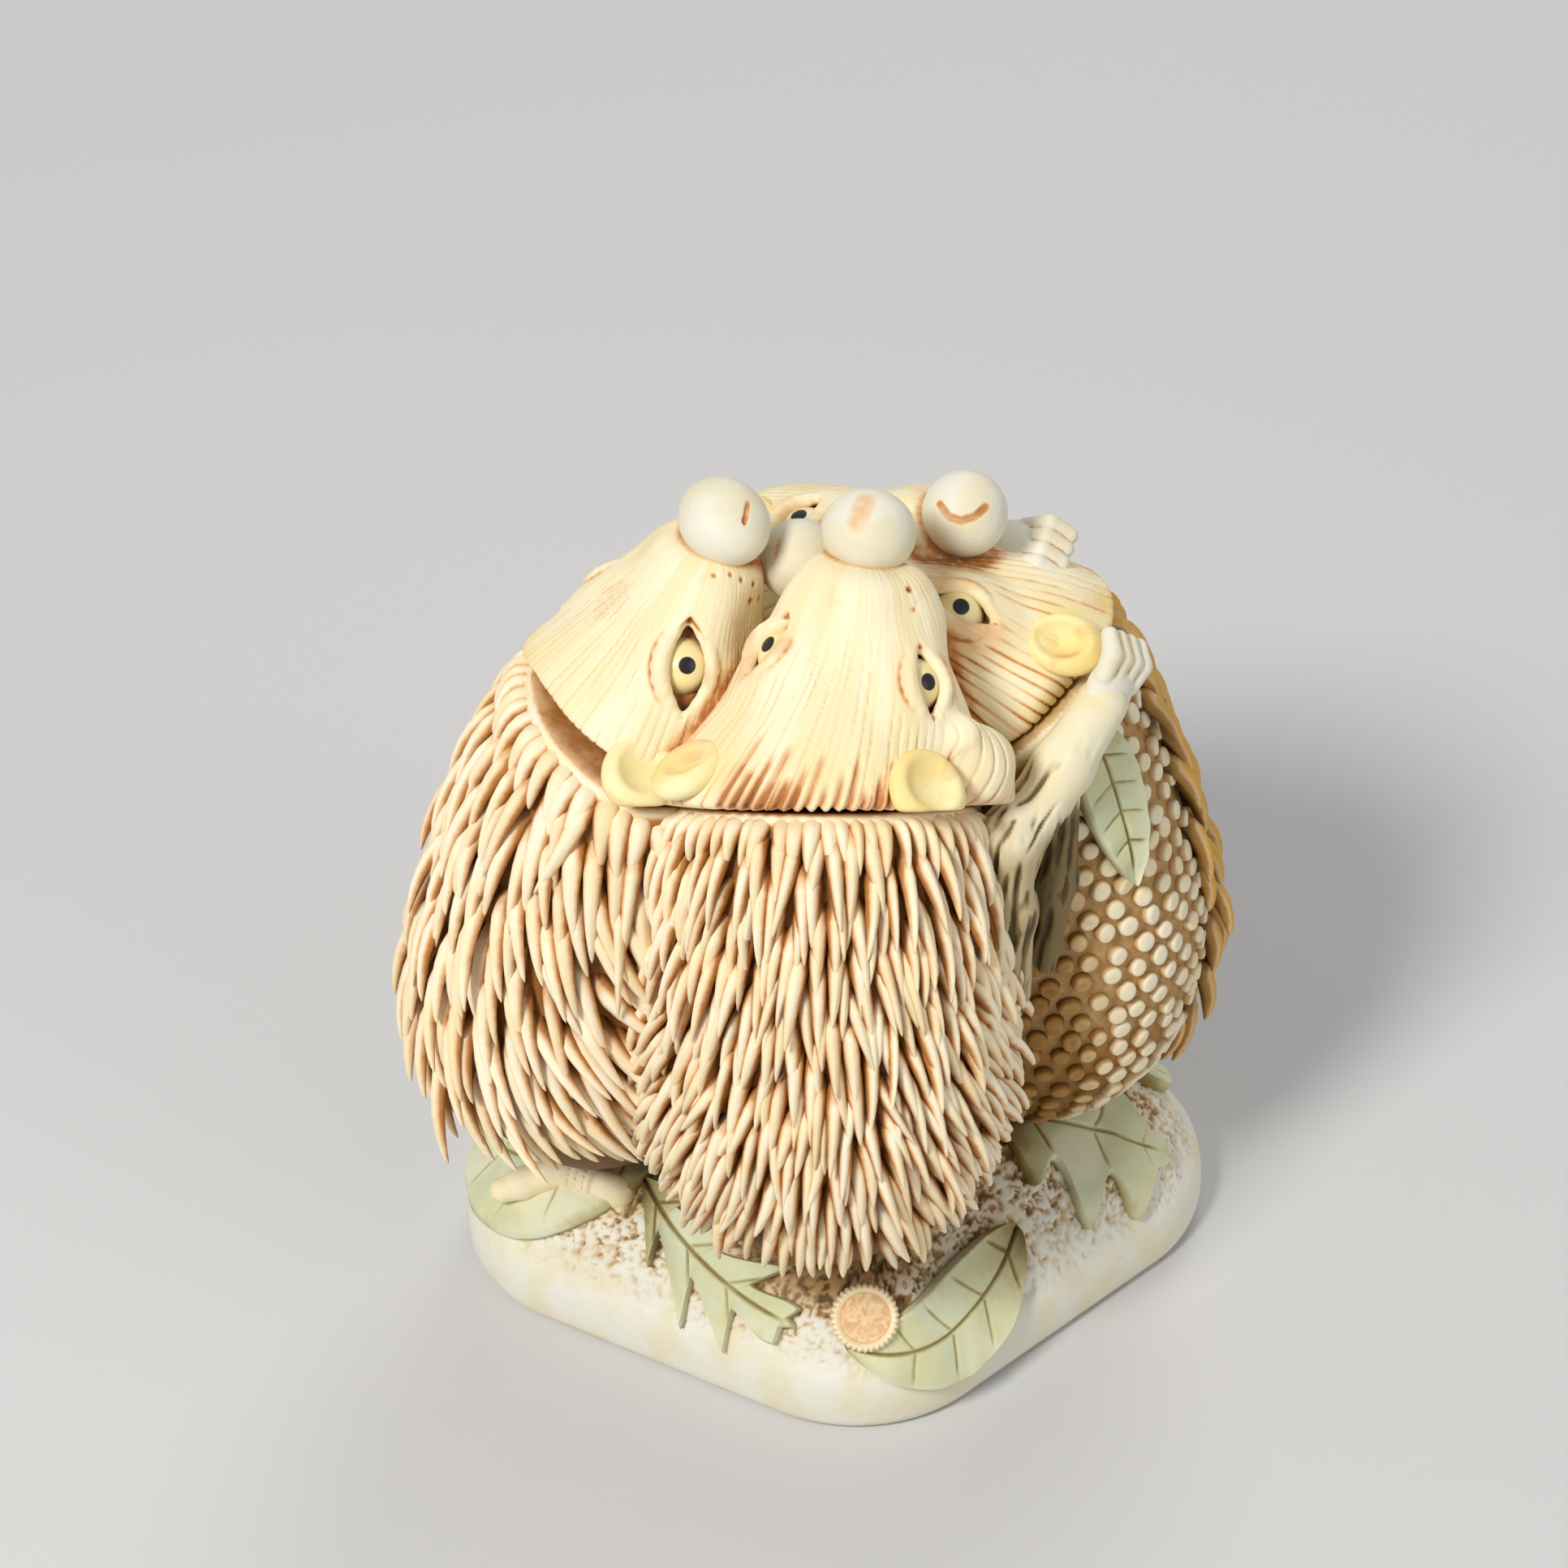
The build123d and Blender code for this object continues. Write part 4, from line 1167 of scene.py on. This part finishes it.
def made_arm():
    """The front hedgehog's arm round its neighbour, with the flanks under it."""
    shoulder, elbow, wrist = np.array(ARM)
    clay = Clay((9, -17, 33), (22.5, -1, 62), 0.17)
    add_limbs(clay, [shoulder, elbow, wrist], [2.5, 2.15, 1.9], 1.0)
    add_limbs(clay, NEAR_FLANK, [2.0, 1.7, 0.9], 1.2)
    add_limbs(clay, FAR_FLANK, [1.8, 1.6, 0.9], 0.8)
    points, quads = clay.mesh()
    normals = normals_of(points, quads)
    upper = eased(50, 54, points[:, 2])
    groove = fur_wash(points, (0.1, 0.0, 1.0), 2.2) * (1 - upper)
    groove += fur_wash(points, wrist - shoulder, 4.4) * upper * eased(58.5, 55, points[:, 2])
    points = points - normals * (groove * 0.32)[:, None]
    wash = (groove + 0.60) * (1 - upper) + 0.62 * groove * upper
    wash += 0.5 * eased(0.0, 0.12, hollowness(points, quads, 0.5, clay.step))
    wash += 0.5 * eased(14.2, 16.0, points[:, 0]) * eased(53, 50, points[:, 2])
    piece("arm_front", points, quads, fur_resin, "box", ["arm_front"], wash)


def made_paw(name, body, wrist, way, back, size=1.0):
    """A paw whose four fingers curl over what it holds."""
    way, back = unit(way), unit(back)
    side = np.cross(way, back)
    back = np.cross(side, way)
    clay = Clay(*around([wrist, np.asarray(wrist) + way * 4 * size], 4.2 * size), 0.14)
    wrist = np.asarray(wrist, float)
    clay.add(egg(wrist + way * 0.6 * size, (way, side, back), (2.4 * size, 2.2 * size, 1.35 * size)), blend=0.5)
    for number in range(4):
        aside = (number - 1.5) * 1.12 * size
        root = wrist + side * aside + way * 1.3 * size + back * 0.35 * size
        knuckle = root + way * 1.7 * size + back * 0.25 * size + side * aside * 0.12
        tip = knuckle + way * 1.3 * size - back * 0.9 * size
        add_limbs(clay, [root, knuckle, tip], [0.70 * size, 0.80 * size, 0.62 * size], 0.08)
    points, quads = clay.mesh()
    wash = 1.0 * eased(0.02, 0.14, hollowness(points, quads, 0.5, clay.step))
    piece(name, points, quads, nose_resin, body, [name], wash)


# The last number is how dark the wash on the bare skin is
dressed_body("front", front_coat, quill_resin, no_tint, 1.3)
dressed_body("left", left_coat, quill_resin, no_tint, 1.25)
dressed_body("back", back_coat, quill_resin, no_tint, 1.3)
dressed_body("right", right_coat, peg_resin, ridge_tint, 0.75)
made_arm()
made_paw("paw_front", "box", (19.6, -5.0, 58.6), (0.35, 0.55, 0.75), (0.75, -0.65, 0.25))
made_paw("paw_back", "lid", (12.4, 8.6, 62.3), (0.92, -0.30, 0.10), (0.05, -0.30, 1.00), size=1.08)


# The mound

FOOT_HALF_X, FOOT_HALF_Y, FOOT_CORNER = 17.4, 12.5, 13.0
FOOT_TURN, FOOT_SETBACK = math.radians(7.0), 2.3


def foot_outline():
    """Evenly spaced points round the foot with their ways out, before it is turned."""
    slant = math.atan2(FOOT_HALF_X, FOOT_HALF_Y)
    corners = (
        (FOOT_HALF_X, 0, 0, slant),
        (0, FOOT_HALF_Y, math.pi / 2, math.pi / 2 - slant),
        (-FOOT_HALF_X, 0, math.pi, slant),
        (0, -FOOT_HALF_Y, 1.5 * math.pi, math.pi / 2 - slant),
    )
    places, ways = [], []
    for x, y, middle, spread in corners:
        for share in np.linspace(-1, 1, 60):
            turn = middle + spread * share
            places.append((x + FOOT_CORNER * math.cos(turn), y + FOOT_CORNER * math.sin(turn)))
            ways.append(turn)
    places, ways = np.array(places + places[:1]), np.array(ways + [ways[0] + 2 * math.pi])
    lengths = np.concatenate([[0], np.cumsum(np.linalg.norm(np.diff(places, axis=0), axis=1))])
    return places, ways, lengths


OUTLINE = foot_outline()
PERIMETER = OUTLINE[2][-1]
# From the crown to the floor: mm in from the outline, and height
FOOT_PROFILE = (
    (12.3, 13.0),
    (9.4, 12.95),
    (7.8, 12.5),
    (5.6, 11.1),
    (3.5, 9.3),
    (1.9, 7.4),
    (0.8, 5.8),
    (0.2, 4.3),
    (0.0, 3.0),
    (0.0, 1.0),
    (0.25, 0.3),
    (0.9, 0.0),
)


def softened(line, count, rounds):
    """A line of points cut into even steps and smoothed, with its ends kept."""
    line = np.array(line, float)
    way = np.concatenate([[0], np.cumsum(np.linalg.norm(np.diff(line, axis=0), axis=1))])
    even = np.linspace(0, way[-1], count)
    line = np.stack([np.interp(even, way, line[:, i]) for i in range(2)], 1)
    for _ in range(rounds):
        line[1:-1] = (line[:-2] + 2 * line[1:-1] + line[2:]) / 4
    return line


PROFILE = softened(FOOT_PROFILE, 200, 60)
PROFILE_WAY = np.concatenate([[0], np.cumsum(np.linalg.norm(np.diff(PROFILE, axis=0), axis=1))])


def profile_at(down_way):
    """How far in from the outline and how high the profile is."""
    return (np.interp(down_way, PROFILE_WAY, PROFILE[:, i]) for i in range(2))


def on_foot(round_way, down_way, lift=0.0):
    """Places on the mound: mm round its outline, mm down its profile from the crown, and mm off it."""
    round_way, down_way = np.broadcast_arrays(np.asarray(round_way, float) % PERIMETER, down_way)
    places, ways, lengths = OUTLINE
    x = np.interp(round_way, lengths, places[:, 0])
    y = np.interp(round_way, lengths, places[:, 1])
    turn = np.interp(round_way, lengths, ways)
    inset, height = profile_at(down_way)
    (in_before, up_before), (in_after, up_after) = profile_at(down_way - 0.4), profile_at(down_way + 0.4)
    along_in, along_up = in_after - in_before, up_after - up_before
    size = np.maximum(np.hypot(along_in, along_up), 1e-6)
    out_part, up_part = -along_up / size, -along_in / size
    reach = -inset + lift * out_part
    x, y = x + reach * np.cos(turn), y + reach * np.sin(turn)
    z = height + lift * up_part
    turned_x = x * math.cos(FOOT_TURN) - y * math.sin(FOOT_TURN)
    turned_y = x * math.sin(FOOT_TURN) + y * math.cos(FOOT_TURN) + FOOT_SETBACK
    return np.stack([turned_x, turned_y, z], -1)


def made_mound():
    """The mound: a smooth band below, a pitted slope above it."""
    step = 0.22 * FINE
    columns = int(PERIMETER / step)
    rows = int(PROFILE_WAY[-1] / step)
    round_way = np.linspace(0, PERIMETER, columns, endpoint=False)[None, :]
    down_way = np.linspace(0, PROFILE_WAY[-1], rows)[:, None]
    flat = on_foot(round_way, down_way)
    middle = np.array((0, FOOT_SETBACK, MOUND_TOP))
    crown = middle + (flat[0] - middle) * np.linspace(0.01, 1, 56, endpoint=False)[:, None, None]
    flat = np.concatenate([crown, flat]).reshape(-1, 3)
    slope = eased(4.9, 6.4, flat[:, 2])
    high = eased(5.0, 11.0, flat[:, 2])
    wander = noise(flat, 1.0, 0.3) * 0.6
    worms = np.abs(noise(flat + wander[:, None], 0.50, 1.7) - 0.5)
    pit = eased(0.13, 0.03, worms) * eased(0.30, 0.50, noise(flat, 0.7, 4.1)) * slope
    small = eased(0.57, 0.68, noise(flat, 0.36, 9.2)) * slope
    depth = 0.22 * pit + 0.18 * small + 0.25 * noise(flat, 6.0, 2.2) * slope
    inner = len(crown) * columns
    points = on_foot(round_way, down_way, -depth[inner:].reshape(rows, columns)).reshape(-1, 3)
    points = np.concatenate([flat[:inner], points])
    points[:inner, 2] -= depth[:inner]
    points[-columns:] = np.array((0, FOOT_SETBACK, 0)) + (points[-columns:] - (0, FOOT_SETBACK, 0)) * 0.02
    quads = grid_quads(rows + len(crown), columns, closed=True)
    # Painted shadow: the mound is washed darker under and round the bodies
    shade = np.min([distance_at(Back(side), flat + (0, 0, 5.0)) for side in SIDES], 0)
    wash = 0.75 * eased(3.0, -3.0, shade) + (0.25 + 0.75 * high) * (0.8 * pit + 0.65 * small)
    wash = wash + 0.30 * high * noise(flat, 2.5, 5.5)
    piece("base_mound", points, quads[:, ::-1], mound_resin, "box", ["base_mound"], wash)


made_mound()


def foot_chart(x, y):
    """Where on the mound a place in the plan is: mm round it and mm down it."""
    round_way = np.linspace(0, PERIMETER, 720, endpoint=False)
    down_way = np.linspace(0.5, 12.0, 100)
    grid = on_foot(round_way[None, :], down_way[:, None])
    apart = np.hypot(grid[..., 0] - x, grid[..., 1] - y)
    row, column = np.unravel_index(np.argmin(apart), apart.shape)
    return round_way[column], down_way[row]


LEAF_THICKNESS = 0.6


def made_leaf(name, chart, length, half_width, edge, bend, veins, curl=0.35, sweep=0.0):
    """A leaf laid on a surface: an edge formula, a midrib, side veins and curled edges."""
    along = np.linspace(0, 1, 170)
    across = np.concatenate([[-1.0], np.linspace(-1, 1, 81), [1.0]])
    low = np.zeros(len(across))
    low[[0, -1]] = 1
    u, v = np.meshgrid(along, across, indexing="ij")
    edge_width = half_width * edge(along)[:, None]
    aside = np.abs(v) * edge_width
    x = u * length + sweep * aside
    y = v * edge_width + bend * 4 * u * (1 - u)
    rib = np.exp(-((v * edge_width / 0.15) ** 2)) * eased(1.0, 0.85, u)
    phase = (u * veins - aside / half_width * 0.5) % 1.0
    line = np.exp(-(((phase - 0.5) * length / veins / 0.13) ** 2))
    vein = line * eased(0.02, 0.10, np.abs(v)) * eased(0.92, 0.6, np.abs(v)) * eased(0.9, 0.8, u)
    puff = 0.22 * np.cos((phase - 0.5) * 2 * math.pi) * -eased(0.0, 0.3, np.abs(v))
    lift = LEAF_THICKNESS + curl * v**2 * eased(1.0, 0.9, np.abs(v)) + 0.3 * puff + 0.10 * np.sin(u * 9)
    lift = lift - 0.30 * rib - 0.20 * vein
    lift = np.where(low[None, :] + 0 * u > 0, -0.4, lift)
    points = chart(x, y, lift).reshape(-1, 3)
    quads = grid_quads(len(along), len(across))
    wash = (0.85 * rib + 0.70 * vein + 0.45 * low[None, :]).ravel() + 0.65 * (eased(0.32, 0.0, u)).ravel()
    wash = wash + 0.30 * noise(points, 2.0, 3.0) * (1 + eased(0.8, 1.0, np.abs(v)).ravel())
    tint = np.clip(eased(0.55, 0.75, noise(points, 4.0, 8.0)) * 0.6 + eased(0.75, 1.0, np.abs(v)).ravel() * 0.4, 0, 1)
    a, b, c, d = (points[quads[:, i]] for i in range(4))
    facing = np.cross(c - a, d - b).sum(0) @ (points.mean(0) - np.array((0, 0, points.mean(0)[2] - 6)))
    if facing < 0:
        quads = quads[:, ::-1]
    piece(name, points, quads, leaf_tint, "box", [name], wash, tint)


def lying(base, tip):
    """A chart for a leaf on the mound from its stalk to its tip, both given in the plan."""
    round_base, down_base = foot_chart(*base)
    round_tip, down_tip = foot_chart(*tip)
    gap = (round_tip - round_base + PERIMETER / 2) % PERIMETER - PERIMETER / 2
    way = np.array((gap, down_tip - down_base))
    length = float(np.linalg.norm(way))
    way = way / length

    def chart(x, y, lift):
        return on_foot(round_base + x * way[0] - y * way[1], down_base + x * way[1] + y * way[0], lift)

    return chart, length


def smooth_edge(u):
    return np.sin(np.pi * np.clip(u, 0, 1) ** 0.85) ** 0.7


def toothed_edge(u):
    tooth = (u * 4.0 + 0.25) % 1.0
    return smooth_edge(u) * (0.30 + 0.84 * tooth**1.7 * eased(1.0, 0.94, tooth))


def lobed_edge(u):
    return np.sin(np.pi * np.clip(u, 0, 1) ** 0.75) ** 0.5 * (0.72 + 0.28 * np.cos(2 * np.pi * u * 3.0 - 1.4))


# Each leaf on the mound: its base and tip in the plan, how much longer it is, half width, edge, bend, veins and more
LEAVES = {
    "leaf_wide": ((-13.0, -4.6), (-29.5, 3.6), 1.1, 7.0, smooth_edge, 0.0, 5, {}),
    "leaf_pointed": ((14.0, -10.5), (0.5, -22.6), 1.0, 4.0, smooth_edge, -2.5, 5, {"curl": 0.7}),
    "leaf_toothed": ((-15.0, -7.5), (-2.0, -20.8), 0.9, 5.0, toothed_edge, 1.4, 4, {"curl": 0.5, "sweep": 0.55}),
    "leaf_lobed": ((13.0, -1.5), (25.6, -0.6), 1.06, 8.2, lobed_edge, 0.0, 3.0, {"sweep": 0.22}),
    "leaf_small": ((24.5, 6.0), (27.5, 12.5), 1.0, 2.6, smooth_edge, 0.0, 4, {}),
}
for name, (base, tip, longer, half_width, edge, bend, veins, more) in LEAVES.items():
    chart, length = lying(base, tip)
    made_leaf(name, chart, length * longer, half_width, edge, bend, veins, **more)


def on_shoulder(x, y, lift):
    """A chart on the right hedgehog's back: mm down it, mm across and mm off it."""
    back = Back("right")
    z = 57.5 - x * 0.95
    radius = back.radius(z) + 1.2 + lift
    turn = math.radians(-50) + (y - 0.05 * x) / radius
    way_out, way_across = back.out(z) + radius * np.cos(turn), SHIFTS["right"] + radius * np.sin(turn)
    out, across = outward("right"), along_side("right")
    return way_out[..., None] * out + way_across[..., None] * across + z[..., None] * np.array((0, 0, 1))


made_leaf("leaf_shoulder", on_shoulder, 15.5, 2.9, smooth_edge, 0.6, 6, curl=0.3)


CAP_FLUTES = 34
# From the middle of the cap out, round its skirt and under it: radius, height and how much of the crimp is there
CAP_RINGS = (
    (0.02, 0.48, 0),
    (0.25, 0.48, 0),
    (0.5, 0.47, 0),
    (0.75, 0.47, 0),
    (1.0, 0.46, 0),
    (1.25, 0.45, 0),
    (1.5, 0.44, 0),
    (1.7, 0.42, 0),
    (1.82, 0.41, 0),
    (1.95, 0.40, 0),
    (2.08, 0.50, 0),
    (2.25, 0.66, 0.4),
    (2.42, 0.66, 0.9),
    (2.58, 0.50, 1.0),
    (2.68, 0.15, 1.0),
    (2.72, -0.35, 1.0),
    (2.70, -0.8, 0.9),
    (0.02, -0.8, 0),
)


def made_cap(centre, out, down):
    """The crown cap: a dished top with a crimped skirt."""
    across = np.cross(out, down)
    turns = np.linspace(0, 2 * math.pi, CAP_FLUTES * 10, endpoint=False)
    flute = 0.5 + 0.5 * np.cos(turns * CAP_FLUTES)
    points = []
    for radius, height, crimp in CAP_RINGS:
        reach = radius - 0.11 * crimp * flute
        points.append(
            centre + out * height + np.outer(reach * np.cos(turns), down) + np.outer(reach * np.sin(turns), across)
        )
    points = np.concatenate(points)
    quads = grid_quads(len(CAP_RINGS), len(turns), closed=True)
    groove = 1.95
    wash = [flute * crimp * 0.5 + (0.55 if radius == groove else 0) for radius, height, crimp in CAP_RINGS]
    wash = np.concatenate(wash)
    inner = np.linalg.norm(points - centre, axis=1)
    scratches = noise(points * (1.0, 0.5, 1.0), 0.22, 2.9)
    wash += (0.42 + 0.20 * eased(0.35, 0.65, scratches)) * eased(2.05, 1.85, inner)
    piece("crown_cap", points, quads, litter_resin, "box", ["crown_cap"], wash)


CAP_PLACE = (2.1, -19.6)
cap_round, cap_down = foot_chart(*CAP_PLACE)
cap_place = on_foot(cap_round, cap_down, 0.9)
cap_out = unit(on_foot(cap_round, cap_down, 2.0) - on_foot(cap_round, cap_down, 0.0))
made_cap(cap_place, cap_out, unit(np.cross(cap_out, (1, 0.15, 0))))


STUB = ((-26.6, -6.0, 9.9), (-21.2, -5.4, 11.8), (-17.3, -7.8, 11.4))  # its ends and its bend


def made_stub():
    """The stubbed-out cigarette end: bent, wrinkled at the bend, frayed at one end."""
    left, bend, right = np.array(STUB)
    clay = Clay(*around((left, bend, right), 3.2), 0.14)
    add_limbs(clay, [left, left + (bend - left) * 0.3, bend, right], [1.05, 1.3, 1.35, 1.35], 0.4)
    way = unit(right - bend)

    def bead(middle, way, turn, reach, radius, blend):
        """A bead of clay beside a line, at a turn round it."""
        side = unit(np.cross(way, (0, 0, 1)))
        up = np.cross(side, unit(way))
        place = middle + (side * math.cos(turn) + up * math.sin(turn)) * reach
        clay.add(ball(place, radius), *around([place], 1), blend=blend)

    for share in (0.05, 0.20, 0.35, 0.50):
        for number in range(20):
            turn = 2 * math.pi * number / 20
            bead(bend + (right - bend) * share, way * 0.8 + unit(bend - left) * 0.2, turn, 1.38, 0.34, 0.12)
    for number in range(7):
        bead(right + way * 0.7, way, number * 0.9, 0.3 + 0.12 * number, 0.5, 0.15)
    points, quads = clay.mesh()
    wash = 0.9 * eased(0.0, 0.1, hollowness(points, quads, 0.4, clay.step))
    wash += 0.35 * eased(1.5, 0.0, np.linalg.norm(points - right, axis=1))
    piece("cigarette_end", points, quads, litter_resin, "box", ["cigarette_end"], wash)


made_stub()

# Carried over from CAD: the core with its hollow, and the lid's plate and plug; the core and the plate take the
# darker copy of the resin as painted shade
for name in ("box_core", "lid_plate", "lid_plug"):
    for carried in [frame["nodes"][name], *frame["nodes"][name].children_recursive]:
        if carried.type == "MESH":
            carried.data.materials.clear()
            carried.data.materials.append(bare_resin if name == "lid_plug" else shaded_core_resin)


# Floor, lights and camera

PALE = (0.60, 0.60, 0.60, 1)
FLOOR = (0.62, 0.61, 0.59, 1)
FADE_START, FADE_END = 0.10, 0.45  # the floor turns into the backdrop between these distances, in metres


def backdrop(tree, lit, end, fades):
    """Shows the camera and reflections an even pale colour in place of what is lit: far off, or everywhere."""
    rays = linked(tree, "LightPath")
    plain = linked(tree, "Emission" if fades else "Background", {"Color": PALE, "Strength": 1.0})
    share = rays.outputs["Is Camera Ray"]
    for kind in ("Is Glossy Ray", "Is Transmission Ray"):
        share = maths(tree, "MAXIMUM", share, rays.outputs[kind])
    if fades:
        place = linked(tree, "NewGeometry").outputs["Position"]
        distance = linked(tree, "VectorMath", {0: place}, operation="LENGTH").outputs["Value"]
        share = maths(tree, "MULTIPLY", smooth_ramp(tree, distance, FADE_START, FADE_END), share)
    mix = linked(tree, "MixShader", {0: share, 1: lit, 2: plain.outputs[0]})
    tree.links.new(mix.outputs[0], tree.nodes[end].inputs["Surface"])


bpy.ops.mesh.primitive_plane_add(size=20.0, location=(0, 0, 0))
floor = bpy.context.object
floor.name = "floor"
floor_material = bpy.data.materials.new("floor")
floor_material.use_nodes = True
floor_surface = floor_material.node_tree.nodes["Principled BSDF"]
floor_surface.inputs["Base Color"].default_value = FLOOR
floor_surface.inputs["Roughness"].default_value = 0.8
backdrop(floor_material.node_tree, floor_surface.outputs[0], "Material Output", True)
floor.data.materials.append(floor_material)

AIM = Vector((0, 0, 0.036))


# Each lamp: its place and the width of its disc in metres, and its power in watts
LAMPS = {
    "key": ((-0.30, -0.40, 0.55), 0.18, 4.0),
    "fill": ((0.5, -0.35, 0.30), 0.45, 0.8),
    "rim": ((0.15, 0.5, 0.5), 0.35, 1.2),
}
for name, (place, size, power) in LAMPS.items():
    light = bpy.data.lights.new(name, "AREA")
    light.shape = "DISK"
    light.size, light.energy = size, power
    lamp = bpy.data.objects.new(name, light)
    lamp.location = place
    lamp.rotation_euler = (AIM - Vector(place)).to_track_quat("-Z", "Y").to_euler()
    bpy.context.scene.collection.objects.link(lamp)

world = bpy.data.worlds.new("studio")
world.use_nodes = True
sky = world.node_tree.nodes["Background"]
sky.inputs["Color"].default_value = (0.92, 0.94, 1.0, 1)
sky.inputs["Strength"].default_value = 0.34
backdrop(world.node_tree, sky.outputs[0], "World Output", False)
bpy.context.scene.world = world
bpy.context.scene.view_settings.view_transform = "Standard"

# The camera stands where the photograph was taken from: 40 degrees up, in front, 320 mm away
CAMERA_DISTANCE = 0.320
lens = bpy.data.cameras.new("camera")
lens.sensor_width = 36
lens.lens = 95.4  # frames the object as the photograph does, with the shift
lens.shift_x, lens.shift_y = -0.0333, 0.0685
lens.dof.use_dof = False
camera = bpy.data.objects.new("camera", lens)
camera.location = AIM + Vector(VIEW_BACK) * CAMERA_DISTANCE
camera.rotation_euler = (AIM - camera.location).to_track_quat("-Z", "Y").to_euler()
bpy.context.scene.collection.objects.link(camera)
bpy.context.scene.camera = camera
